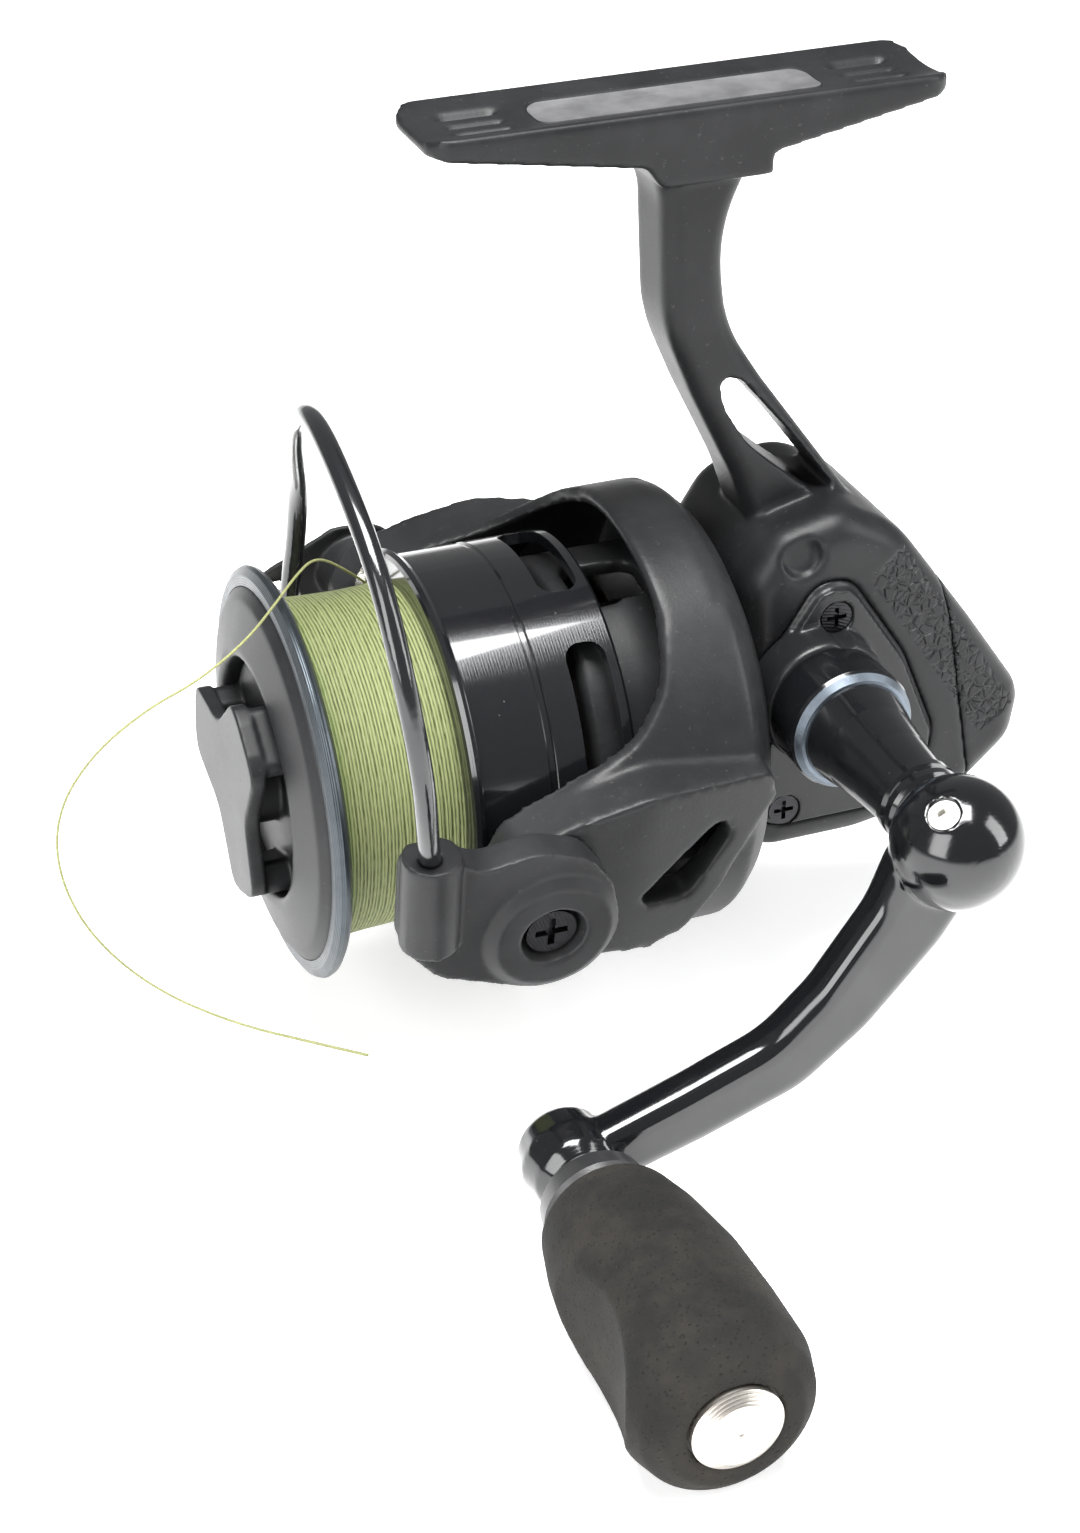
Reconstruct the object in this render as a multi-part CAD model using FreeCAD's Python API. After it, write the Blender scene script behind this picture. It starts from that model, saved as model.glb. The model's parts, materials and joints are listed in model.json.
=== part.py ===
import FreeCAD, Part
import math
import os

os.makedirs("parts", exist_ok=True)

V = FreeCAD.Vector

# A fixed-spool spinning reel. Millimetres, +Z up, the rod along X.
# The spool points to -X and the handle is on -Y. The origin is the middle of the foot's rod seat.

# ---- driving dimensions -------------------------------------------------------------------
FOOT_LENGTH = 60.0
FOOT_WIDTH = 14.2
FOOT_TIP = 2.4
FOOT_ROOT = 6.0
SEAT_RADIUS = 20.0
STEM_WIDTH = 10.0

SHAFT_DROP = 73.5          # rod seat to main shaft
SHAFT_D = 4.0
BODY_HALF = 12.5           # half the width of the gear housing
WALL = 2.0
NECK_STEP = 0.1            # neck radius under half the body width

GEAR_X = 12.7              # drive gear axis, ahead of the origin
GEAR_RISE = 5.6            # drive gear axis above the main shaft
GEAR_R = 12.5
GEAR_SHAFT_D = 6.0
GEAR_TEETH = 47
PINION_TEETH = 9
PINION_R = 4.3

OSC_MODULE = 0.6
OSC_DRIVE_TEETH = 16
OSC_TEETH = 32
OSC_ANGLE = -140.0         # where the oscillation gear sits round the drive gear axis
RAIL_R = 1.25
RAIL_DROP = 10.2           # guide rail below the main shaft
STROKE_BACK = 12.5         # spool travel from the pose shown towards the body
STROKE_FRONT = 1.5

RIM_R = 24.0               # front lip of the spool
SPOOL_FRONT = -48.6
LINE_FRONT = -46.6
LINE_REAR = -32.3
LINE_DEPTH = 4.5           # wound line below the lip
ARBOR_DEPTH = 7.2
SKIRT_DEPTH = 1.7
SKIRT_REAR = -12.5
SKIRT_WALL = 1.3
WINDOW_SPAN = 42.0         # long windows round the rear of the skirt, in degrees
WINDOW_ANGLE = 59.0
WINDOW_FRONT = -18.6
WINDOW_REAR = -13.9

ROTOR_ANGLE = 100.0        # near rotor arm, turned from +Z towards -Y
ROTOR_MARGIN = 2.4         # rotor ring outside the spool lip
RING_WALL = 1.7
SKIRT_ROOM = 2.9           # between the skirt and the rotor's inner cylinder
RING_FRONT = -8.0
ROTOR_REAR = 4.4
CYL_WINDOW_ANGLE = 10.0     # first window in the rotor's inner cylinder
WEB_FRONT = -16.5
ARM_MARGIN = 0.5           # screw seat of the rotor arms outside the ring
ARM_THICK = 2.8
PIVOT_X = -27.5
BAIL_ARM_THICK = 4.0
WIRE_D = 2.4
ROLLER_R = 3.2
ROLLER_LENGTH = 4.0

ARM_REACH_X = 43.3         # handle arm: gear axis to knob axis, along X and down Z
ARM_DROP = 32.3
HUB_Y = -50.0
HUB_R = 7.4
SET_SCREW_AIM = V(-0.47, -0.34, 0.81).normalize()
KNOB_R = 10.4
KNOB_END = -92.0

TAIL_D = 0.3               # loose end of the line

# ---- clearances ---------------------------------------------------------------------------
RUN = 0.05                 # radial running clearance of a shaft in its bore
GAP = 0.3                  # between faces of bodies that move past each other

# ---- derived places -----------------------------------------------------------------------
SHAFT_Z = -SHAFT_DROP
NECK_R = BODY_HALF - NECK_STEP
LINE_R = RIM_R - LINE_DEPTH
ARBOR_R = RIM_R - ARBOR_DEPTH
SKIRT_R = RIM_R - SKIRT_DEPTH
ROTOR_R = RIM_R + ROTOR_MARGIN
ROTOR_CYL_R = SKIRT_R - SKIRT_ROOM
ARM_INNER = ROTOR_R + ARM_MARGIN
SHAFT_R = SHAFT_D / 2
GEAR_Z = SHAFT_Z + GEAR_RISE
GEAR_SHAFT_R = GEAR_SHAFT_D / 2
OSC_DRIVE_PITCH = OSC_MODULE * OSC_DRIVE_TEETH / 2
OSC_PITCH = OSC_MODULE * OSC_TEETH / 2
OSC_REACH = OSC_DRIVE_PITCH + OSC_PITCH + 0.1
OSC_X = GEAR_X - OSC_REACH * math.cos(math.radians(OSC_ANGLE))
OSC_Z = GEAR_Z + OSC_REACH * math.sin(math.radians(OSC_ANGLE))
ARM_OUTER = ARM_INNER + ARM_THICK
BAIL_INNER = ARM_OUTER + GAP
KNOB_X = GEAR_X - ARM_REACH_X
KNOB_Z = GEAR_Z - ARM_DROP
COVER_Y = -BODY_HALF
BORE_R = SHAFT_R + RUN
RAIL_Z = SHAFT_Z - RAIL_DROP
NECK_BORE = NECK_R - 1.4
BOSS_Y = COVER_Y - 5.1     # outer face of the bearing boss on the side cover
COLLAR_Y = BOSS_Y - GAP
NECK_Y = COLLAR_Y - 6.9    # where the handle collar meets the neck
BEARING_OUT = 4.1          # bearings, from the body's faces
BEARING_IN = 1.1
CAP_Y = BODY_HALF + 3.0
CONE_R = RIM_R - 2.2
LOCK_FRONT = WEB_FRONT - 3.2
CASTING_R = ROTOR_R - RING_WALL + 0.3


# ---- helpers ------------------------------------------------------------------------------
def arc_wire(points, radii):
    """Closed wire of straight runs with a tangent arc at each corner; 0 keeps the corner."""
    count = len(points)
    ends = []
    edges = []
    for i in range(count):
        before, here, after = points[i - 1], points[i], points[(i + 1) % count]
        radius = radii[i] if isinstance(radii, list) else radii
        a = (before - here).normalize()
        b = (after - here).normalize()
        turn = math.pi - a.getAngle(b)
        if radius < 1e-6 or turn < 1e-3:
            ends.append((here, here, None))
            continue
        cut = radius * math.tan(turn / 2)
        limit = 0.48 * min((before - here).Length, (after - here).Length)
        cut = min(cut, limit)
        radius = cut / math.tan(turn / 2)
        bis = (a + b).normalize()
        centre = here + bis * (radius / math.cos(turn / 2))
        ends.append((here + a * cut, here + b * cut, centre - bis * radius))
    for i in range(count):
        start, stop, middle = ends[i]
        if middle is not None:
            edges.append(Part.Arc(start, middle, stop).toShape())
        following = ends[(i + 1) % count][0]
        if (following - stop).Length > 1e-6:
            edges.append(Part.LineSegment(stop, following).toShape())
    return Part.Wire(edges)


def slab(points, y_low, y_high, radii=0.0):
    """Outline in (x, z), extruded along Y."""
    wire = arc_wire([V(x, y_low, z) for x, z in points], radii)
    return Part.Face(wire).extrude(V(0, y_high - y_low, 0))


def plate(points, z_low, z_high, radii=0.0):
    """Outline in (x, y), extruded along Z."""
    wire = arc_wire([V(x, y, z_low) for x, y in points], radii)
    return Part.Face(wire).extrude(V(0, 0, z_high - z_low))


def turned(points, base, axis):
    """Closed profile of (along, radius) points turned about a line."""
    if abs(axis.x) > 0.5:
        place = [V(base.x + a, base.y, base.z + r) for a, r in points]
    elif abs(axis.y) > 0.5:
        place = [V(base.x + r, base.y + a, base.z) for a, r in points]
    else:
        place = [V(base.x + r, base.y, base.z + a) for a, r in points]
    face = Part.Face(Part.makePolygon(place + [place[0]]))
    return face.revolve(base, axis, 360)


def about_shaft(points):
    return turned(points, V(0, 0, SHAFT_Z), V(1, 0, 0))


def about_y(points, x, z):
    return turned(points, V(x, 0, z), V(0, 1, 0))


def about_z(points, x, y):
    """Turned about a local Z line, in the rotor's own frame."""
    return turned(points, V(x, y, 0), V(0, 0, 1))


def cyl_x(x0, x1, r, y=0.0, z=SHAFT_Z):
    return Part.makeCylinder(r, x1 - x0, V(x0, y, z), V(1, 0, 0))


def cyl_y(y0, y1, r, x, z):
    return Part.makeCylinder(r, y1 - y0, V(x, y0, z), V(0, 1, 0))


def ring_x(x0, x1, r_in, r_out):
    return cyl_x(x0, x1, r_out).cut(cyl_x(x0 - 1, x1 + 1, r_in))


def ring_y(y0, y1, r_in, r_out, x, z):
    return cyl_y(y0, y1, r_out, x, z).cut(cyl_y(y0 - 1, y1 + 1, r_in, x, z))


def box(x0, x1, y0, y1, z0, z1):
    return Part.makeBox(x1 - x0, y1 - y0, z1 - z0, V(x0, y0, z0))


def fuse(shapes):
    first = shapes[0]
    return first.multiFuse(shapes[1:]).removeSplitter() if len(shapes) > 1 else first


def rotor_place(shape):
    """From the rotor's own frame (arms along Z through the shaft) to its place on the reel."""
    out = shape.copy()
    out.translate(V(0, 0, SHAFT_Z))
    out.rotate(V(0, 0, SHAFT_Z), V(1, 0, 0), ROTOR_ANGLE)
    return out


def mirrored_arm(z0, z1):
    """Far-side range of a near-side range along the arm axis."""
    return -z1, -z0


def gear_y(teeth, module, y0, y1, x, z, phase=0.0, bore=0.0):
    """Spur gear about a Y line, with plain trapezoid teeth."""
    pitch = module * teeth / 2
    outer = pitch + 0.8 * module
    root = pitch - 1.1 * module
    points = []
    step = 2 * math.pi / teeth
    for i in range(teeth):
        base = phase + i * step
        for share, radius in ((-0.25, root), (-0.13, outer), (0.13, outer), (0.25, root)):
            angle = base + share * step
            points.append(V(x + radius * math.cos(angle), y0, z + radius * math.sin(angle)))
    solid = Part.Face(Part.makePolygon(points + [points[0]])).extrude(V(0, y1 - y0, 0))
    return solid.cut(cyl_y(y0 - 1, y1 + 1, bore, x, z)) if bore else solid


def screw_head(base, axis, radius, height, depth):
    """Pan head with a cross recess; its top lies along the axis."""
    head = Part.makeCylinder(radius, height, base, axis)
    side = axis.cross(V(1, 0, 0))
    if side.Length < 0.1:
        side = axis.cross(V(0, 0, 1))
    side.normalize()
    across = axis.cross(side).normalize()
    top = base + axis * height
    for lead, other in ((side, across), (across, side)):
        length = 1.3 * radius
        width = 0.28 * radius
        corner = top - axis * depth - lead * (length / 2) - other * (width / 2)
        bar = Part.Face(Part.makePolygon([
            corner, corner + lead * length, corner + lead * length + other * width,
            corner + other * width, corner])).extrude(axis * (depth + 1))
        head = head.cut(bar)
    return head


# ---- housing: body, stem and foot -----------------------------------------------------------
BODY_OUTLINE = [
    (4.8, SHAFT_Z - 14.5), (4.8, SHAFT_Z + 18.6), (8.6, SHAFT_Z + 24.4), (17.5, SHAFT_Z + 26.6),
    (24.5, SHAFT_Z + 22.9), (34.6, SHAFT_Z + 9.0), (42.0, SHAFT_Z - 1.8), (41.0, SHAFT_Z - 8.0),
    (33.5, SHAFT_Z - 14.8), (20.0, SHAFT_Z - 17.0), (8.6, SHAFT_Z - 17.0)]
BODY_RADII = [4.0, 6.0, 6.0, 7.0, 14.0, 14.0, 5.0, 5.0, 12.0, 14.0, 4.0]
COVER_OUTLINE = [
    (6.8, SHAFT_Z - 13.0), (6.8, SHAFT_Z + 9.0), (13.2, SHAFT_Z + 18.6), (17.6, SHAFT_Z + 18.2),
    (24.8, SHAFT_Z + 7.4), (29.4, SHAFT_Z - 4.0), (27.0, SHAFT_Z - 13.0)]
COVER_RADII = [3.0, 5.0, 3.5, 3.5, 14.0, 5.0, 4.0]
COVER_SCREWS = [(15.4, SHAFT_Z + 14.2), (25.6, SHAFT_Z - 5.6), (9.6, SHAFT_Z - 10.4)]
STEM_HEIGHT = SHAFT_DROP - FOOT_ROOT - 22.5


def down(share):
    """Height at a share of the way from the foot to the top of the body."""
    return -FOOT_ROOT - share * STEM_HEIGHT


STEM_FRONT = [
    (-5.2, -FOOT_ROOT + 1.6), (-3.0, down(0.08)), (-2.5, down(0.42)), (1.1, down(0.61)),
    (6.3, down(0.85)), (8.6, down(1.0))]
STEM_REAR = [(22.5, down(0.99)), (9.6, down(0.59)), (5.0, down(0.43)), (3.9, down(0.18)),
             (8.7, -FOOT_ROOT + 1.6)]
STEM_WINDOW = [(3.8, down(0.555)), (6.6, down(0.575)), (13.0, down(0.745)), (19.4, down(0.935)),
               (17.0, down(0.935)), (12.4, down(0.85)), (7.6, down(0.755)), (4.4, down(0.64))]
WINDOW_RADII = [1.0, 2.0, 20.0, 1.0, 1.0, 15.0, 12.0, 8.0]
REAR_CUT_TOP = (27.5, SHAFT_Z + 30.0)
REAR_CUT_BOTTOM = (36.4, SHAFT_Z - 22.0)


def foot():
    half = FOOT_LENGTH / 2
    side = [(-half, 1.6), (half, 1.6), (half, -FOOT_TIP + 1.3), (8.7, -FOOT_ROOT + 0.9),
            (8.7, -FOOT_ROOT - 1.5), (-4.2, -FOOT_ROOT - 1.5), (-6.0, -FOOT_ROOT + 1.0),
            (-half, -FOOT_TIP + 1.3)]
    body = slab(side, -FOOT_WIDTH / 2, FOOT_WIDTH / 2)
    edge = FOOT_WIDTH / 2
    top = plate([(-half, -edge), (half, -edge), (half, edge), (-half, edge)],
                -20.0, 5.0, 3.2)
    body = body.common(top)
    seat = Part.makeCylinder(SEAT_RADIUS, FOOT_LENGTH + 10, V(-half - 5, 0, SEAT_RADIUS), V(1, 0, 0))
    body = body.cut(seat)
    lift = SEAT_RADIUS - math.sqrt(SEAT_RADIUS ** 2 - edge ** 2)
    body = body.cut(box(-half - 5, half + 5, -edge - 1, edge + 1, lift - 0.25, 6))
    for end in (-1, 1):
        for y in (-2.7, 0.0, 2.7):
            mid = end * (half - 7.2)
            slot = plate([(mid - 3.6, y - 0.7), (mid + 3.6, y - 0.7), (mid + 3.6, y + 0.7), (mid - 3.6, y + 0.7)],
                         -0.7, 3, 0.65)
            body = body.cut(slot)
    return body.cut(plate_recess(0.5, 0.0))


def plate_recess(depth, inset):
    long_half = 16.4 - inset
    wide_half = 3.4 - inset
    return plate([(-long_half, -wide_half), (long_half, -wide_half), (long_half, wide_half),
                  (-long_half, wide_half)], -depth, 2.0, 2.0)


def foot_plate():
    """Blank metal plate let into the rod seat; its face follows the seat."""
    seat = Part.makeCylinder(SEAT_RADIUS, 80, V(-40, 0, SEAT_RADIUS), V(1, 0, 0))
    return plate_recess(0.5, 0.1).cut(seat)


def stem():
    shape = slab(STEM_FRONT + STEM_REAR, -STEM_WIDTH / 2, STEM_WIDTH / 2,
                 [3.0, 8.0, 20.0, 20.0, 30.0, 0.0, 0.0, 20.0, 20.0, 20.0, 3.0])
    shape = shape.makeFillet(2.2, [e for e in shape.Edges if lies_on_side(e, STEM_WIDTH / 2, down(0.07), down(0.85))])
    return shape.cut(slab(STEM_WINDOW, -20, 20, WINDOW_RADII))


def lies_on_side(edge, y, z_top, z_bottom):
    box_ = edge.BoundBox
    flat = abs(abs(box_.YMin) - y) < 1e-4 and abs(box_.YMax - box_.YMin) < 1e-4
    return flat and box_.ZMax < z_top + 1.0 and box_.ZMin > z_bottom - 8.0 and edge.Length > 0.4


def body_outer():
    shape = slab(BODY_OUTLINE, -BODY_HALF, BODY_HALF, BODY_RADII)
    rims = [e for e in shape.Edges if abs(abs(e.BoundBox.YMin) - BODY_HALF) < 1e-4
            and e.BoundBox.YLength < 1e-4]
    return shape.makeFillet(3.6, rims)


def inset_outline(y_low, y_high, inset):
    wire = arc_wire([V(x, y_low, z) for x, z in BODY_OUTLINE], BODY_RADII)
    inner = wire.makeOffset2D(-inset)
    return Part.Face(inner).extrude(V(0, y_high - y_low, 0))


def rear_half_space():
    dx = REAR_CUT_BOTTOM[0] - REAR_CUT_TOP[0]
    dz = REAR_CUT_BOTTOM[1] - REAR_CUT_TOP[1]
    low = (REAR_CUT_TOP[0] + 1.6 * dx, REAR_CUT_TOP[1] + 1.6 * dz)
    high = (REAR_CUT_TOP[0] - 0.6 * dx, REAR_CUT_TOP[1] - 0.6 * dz)
    return slab([high, (low[0] + 60, high[1]), (low[0] + 60, low[1]), low], -30, 30)


def shell():
    outer = body_outer()
    cavity = inset_outline(-BODY_HALF + WALL, BODY_HALF - WALL, WALL)
    return outer.cut(cavity)


def housing_body():
    whole = fuse([body_outer(), stem(), foot(), cyl_x(-4.0, 8.0, NECK_R),
                  cyl_y(BODY_HALF - 1, CAP_Y, 7.4, GEAR_X, GEAR_Z)])
    cavity = inset_outline(-BODY_HALF + WALL, BODY_HALF - WALL, WALL)
    whole = whole.cut(cavity)
    # open room in the neck for the pinion and the front of the drive gear
    whole = whole.cut(cyl_x(-2.0, 8.0, NECK_BORE))
    whole = whole.cut(cyl_x(-5.0, 0.0, 8.0))
    whole = whole.cut(cyl_y(4.1, 7.9, GEAR_R + 0.4, GEAR_X, GEAR_Z))
    # seat of the far gear bearing
    whole = whole.cut(cyl_y(BODY_HALF - BEARING_OUT, BODY_HALF + 1.6, 6.0, GEAR_X, GEAR_Z))
    whole = whole.cut(cyl_y(BODY_HALF - 4.5, CAP_Y + 2.0, 4.2, GEAR_X, GEAR_Z))
    whole = whole.cut(slab(COVER_OUTLINE, -BODY_HALF - 5, -BODY_HALF + WALL + 0.5, COVER_RADII))
    # round blind hole high on the near face
    whole = whole.cut(cyl_y(-BODY_HALF - 3, -BODY_HALF + 1.2, 2.4, 11.4, SHAFT_Z + 22.0))
    whole = whole.cut(rear_half_space())
    # rib that carries the rear bush of the pinion, and the block that holds the guide rail
    rib = box(7.9, 9.5, -4.8, 4.2, SHAFT_Z - 16.0, SHAFT_Z + 4.8).cut(cyl_x(7, 11, 3.2))
    rail_block = box(10.5, 13.5, -4.0, 4.0, SHAFT_Z - 16.0, RAIL_Z + 2.2)
    rail_bore = cyl_x(9, 40, RAIL_R, 0.0, RAIL_Z)
    return fuse([whole, rib, rail_block]).cut(rail_bore)


def side_cover():
    plate_ = slab(COVER_OUTLINE, -BODY_HALF, -BODY_HALF + WALL, COVER_RADII)
    border = 0.7
    trimmed = arc_wire([V(x, COVER_Y - 1.0, z) for x, z in COVER_OUTLINE], COVER_RADII)
    raised = Part.Face(trimmed.makeOffset2D(-border)).extrude(V(0, 1.5, 0))
    boss = about_y([(BOSS_Y, 0.0), (BOSS_Y, 7.4), (BOSS_Y + 0.6, 7.8), (COVER_Y, 8.0), (COVER_Y, 5.4),
                    (COVER_Y + 1.9, 5.4), (COVER_Y + 1.9, 0.0)], GEAR_X, GEAR_Z)
    post = cyl_y(-BODY_HALF + 0.5, -4.9, 2.0, OSC_X, OSC_Z)
    shoulder = cyl_y(-BODY_HALF + 0.5, -8.2, 3.2, OSC_X, OSC_Z)
    cover = fuse([plate_, raised, boss, post, shoulder])
    cover = cover.cut(cyl_y(COVER_Y - BEARING_OUT, COVER_Y + 3.5, 6.0, GEAR_X, GEAR_Z))
    cover = cover.cut(cyl_y(BOSS_Y - 5.0, COVER_Y + 3.5, 4.2, GEAR_X, GEAR_Z))
    for x, z in COVER_SCREWS:
        cover = cover.cut(cyl_y(-20, -BODY_HALF + 0.4, 2.0, x, z))
        cover = cover.cut(cyl_y(-20, -5, 1.0, x, z))
    return cover


def cover_screws():
    solids = []
    for x, z in COVER_SCREWS:
        head = screw_head(V(x, -BODY_HALF + 0.4, z), V(0, -1, 0), 1.9, 1.2, 0.7)
        shank = cyl_y(-BODY_HALF + 0.4, -BODY_HALF + WALL + 0.6, 0.95, x, z)
        solids.append(fuse([head, shank]))
    return Part.makeCompound(solids)


def rear_cover():
    cap = shell().common(rear_half_space())
    return cap.cut(cyl_x(30, 60, 1.9, 0.0, SHAFT_Z - 5.0))


def rear_screw():
    face = 42.0
    head = screw_head(V(face - 2.6, 0, SHAFT_Z - 5.0), V(1, 0, 0), 1.85, 1.4, 0.8)
    return head.common(body_outer())


def gear_bearings():
    near = gear_bearing(COVER_Y - BEARING_OUT, COVER_Y - BEARING_IN)
    far = gear_bearing(BODY_HALF - BEARING_OUT, BODY_HALF - BEARING_IN)
    return Part.makeCompound([near, far])


def gear_bearing(y0, y1):
    outer = ring_y(y0, y1, 4.9, 6.0, GEAR_X, GEAR_Z)
    inner = ring_y(y0, y1, GEAR_SHAFT_R + RUN, 4.0, GEAR_X, GEAR_Z)
    shield = ring_y(y0 + 0.4, y1 - 0.4, 3.9, 5.0, GEAR_X, GEAR_Z)
    return fuse([outer, inner, shield])


def pinion_bearing():
    outer = ring_x(-4.0, -0.4, 6.6, 8.0)
    inner = ring_x(-4.0, -0.4, 4.0 + RUN, 5.4)
    shield = ring_x(-3.6, -0.8, 5.3, 6.7)
    return fuse([outer, inner, shield])


def pinion_bush():
    return ring_x(7.9, 9.5, BORE_R, 3.2)


def clutch_housing():
    ring = about_shaft([(-11.2, 7.4), (-11.2, NECK_R - 0.8), (-10.4, NECK_R), (-4.0, NECK_R), (-4.0, 5.6),
                        (-4.8, 5.6), (-4.8, 7.4)])
    holes = []
    for i in range(3):
        a = math.radians(120 * i + 20)
        holes.append(cyl_x(-12, -9.6, 0.9, 10.2 * math.sin(a), SHAFT_Z + 10.2 * math.cos(a)))
    return ring.cut(Part.makeCompound(holes))


def clutch_screws():
    solids = []
    for i in range(3):
        a = math.radians(120 * i + 20)
        y, z = 10.2 * math.sin(a), SHAFT_Z + 10.2 * math.cos(a)
        head = screw_head(V(-11.2, y, z), V(-1, 0, 0), 1.6, 0.8, 0.5)
        solids.append(fuse([head, cyl_x(-11.2, -9.6, 0.85, y, z)]))
    return Part.makeCompound(solids)


def clutch_rollers():
    solids = []
    for i in range(8):
        a = math.radians(45 * i)
        r = 6.6
        solids.append(cyl_x(-10.2, -5.4, 0.75, r * math.sin(a), SHAFT_Z + r * math.cos(a)))
    return Part.makeCompound(solids)


def far_axle_cap():
    return about_y([(CAP_Y, 0.0), (CAP_Y, 7.2), (CAP_Y + 0.8, 7.7), (CAP_Y + 2.6, 7.0),
                    (CAP_Y + 3.4, 5.0), (CAP_Y + 3.4, 0.0)], GEAR_X, GEAR_Z)


def oscillation_rail():
    return cyl_x(10.5, 34.0, RAIL_R, 0.0, RAIL_Z)


# ---- drive: gear, handle shaft and handle ---------------------------------------------------
def drive_gear():
    rim = ring_y(4.9, 7.4, 8.2, GEAR_R, GEAR_X, GEAR_Z)
    web = ring_y(5.7, 7.4, GEAR_SHAFT_R, 8.4, GEAR_X, GEAR_Z)
    hub = ring_y(5.0, 8.2, GEAR_SHAFT_R, 4.6, GEAR_X, GEAR_Z)
    gear = fuse([rim, web, hub])
    teeth = []
    for i in range(GEAR_TEETH):
        angle = 360.0 * i / GEAR_TEETH
        tooth = box(8.6, GEAR_R - 0.2, 4.5, 5.0, -0.35, 0.35)
        tooth.rotate(V(0, 0, 0), V(0, 1, 0), angle)
        tooth.translate(V(GEAR_X, 0, GEAR_Z))
        teeth.append(tooth)
    gear = gear.multiFuse(teeth)
    for i in range(5):
        angle = math.radians(72 * i)
        x = GEAR_X + 6.3 * math.cos(angle)
        z = GEAR_Z + 6.3 * math.sin(angle)
        gear = gear.cut(cyl_y(3, 9, 1.1, x, z))
    return gear


def gear_shaft():
    return cyl_y(COLLAR_Y, BODY_HALF + 1.4, GEAR_SHAFT_R, GEAR_X, GEAR_Z)


def osc_drive_gear():
    return gear_y(OSC_DRIVE_TEETH, OSC_MODULE, -7.4, -5.0, GEAR_X, GEAR_Z,
                  phase=0.0, bore=GEAR_SHAFT_R)


def oscillation_gear():
    step = 2 * math.pi / OSC_TEETH
    toward = math.atan2(GEAR_Z - OSC_Z, GEAR_X - OSC_X)
    drive_step = 2 * math.pi / OSC_DRIVE_TEETH
    away = math.atan2(OSC_Z - GEAR_Z, OSC_X - GEAR_X)
    shift = (away / drive_step) % 1.0
    phase = toward + (0.5 + shift) * step
    gear = gear_y(OSC_TEETH, OSC_MODULE, -7.4, -5.0, OSC_X, OSC_Z, phase=phase, bore=2.0 + RUN)
    peg_a = math.radians(60)
    peg = cyl_y(-5.2, -4.3, 1.4, OSC_X + 5.2 * math.cos(peg_a), OSC_Z + 5.2 * math.sin(peg_a))
    return fuse([gear, peg])


def handle_collar():
    """Gloss collar between the body and the handle hub, necked down to the hub."""
    return about_y([(COLLAR_Y, 0.0), (COLLAR_Y, 7.0), (COLLAR_Y - 0.4, 7.5), (NECK_Y + 1.2, 7.5),
                    (NECK_Y + 0.8, 7.3), (NECK_Y + 0.8, 0.0)], GEAR_X, GEAR_Z)


def collar_ring():
    return about_y([(NECK_Y + 0.8, 0.0), (NECK_Y + 0.8, 7.3), (NECK_Y, 6.7), (NECK_Y, 0.0)], GEAR_X, GEAR_Z)


def handle_neck():
    end = HUB_Y + 5.4
    return about_y([(NECK_Y, 0.0), (NECK_Y, 6.3), (NECK_Y - 4.0, 5.5), (NECK_Y - 9.0, 4.9), (end + 5.2, 4.5),
                    (end + 4.8, 4.9), (end + 3.8, 4.9), (end + 3.4, 4.3), (end + 2.8, 4.9),
                    (end + 1.8, 4.9), (end + 1.4, 4.5), (end, 4.5), (end, 0.0)], GEAR_X, GEAR_Z)


ARM_PATH = [(GEAR_X, GEAR_Z), (7.6, SHAFT_Z - 4.0), (0.2, SHAFT_Z - 13.0), (-6.4, SHAFT_Z - 18.6),
            (-17.0, SHAFT_Z - 22.4), (KNOB_X, KNOB_Z)]
ARM_HALF = [6.0, 5.0, 4.3, 4.0, 3.8, 3.5]
ARM_ROUND = 2.2
HUB_CENTRE = V(GEAR_X, HUB_Y + 0.5, GEAR_Z)
SET_SCREW_R = 1.7


def handle_arm():
    upper = []
    lower = []
    for i, (x, z) in enumerate(ARM_PATH):
        ax, az = ARM_PATH[max(i - 1, 0)]
        bx, bz = ARM_PATH[min(i + 1, len(ARM_PATH) - 1)]
        length = math.hypot(bx - ax, bz - az)
        nx, nz = -(bz - az) / length, (bx - ax) / length
        upper.append((x + nx * ARM_HALF[i], z + nz * ARM_HALF[i]))
        lower.append((x - nx * ARM_HALF[i], z - nz * ARM_HALF[i]))
    bar = slab(upper + lower[::-1], HUB_Y - 0.4, HUB_Y + 5.2, 12.0)
    bar = bar.makeFillet(ARM_ROUND, [e for e in bar.Edges if e.BoundBox.YLength < 1e-4])
    hub = Part.makeSphere(HUB_R, HUB_CENTRE).common(
        cyl_y(HUB_Y - 12.0, HUB_Y + 5.4, HUB_R + 1.0, GEAR_X, GEAR_Z))
    ball = about_y([(HUB_Y - 1.2, 0.0), (HUB_Y - 1.2, 3.8), (HUB_Y + 0.4, 5.0), (HUB_Y + 3.2, 5.6),
                    (HUB_Y + 6.4, 5.0), (HUB_Y + 8.4, 3.4), (HUB_Y + 8.8, 0.0)], KNOB_X, KNOB_Z)
    seat = Part.makeCylinder(SET_SCREW_R, 6.0, HUB_CENTRE + SET_SCREW_AIM * 5.2, SET_SCREW_AIM)
    return fuse([bar, hub, ball]).cut(seat)


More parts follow.
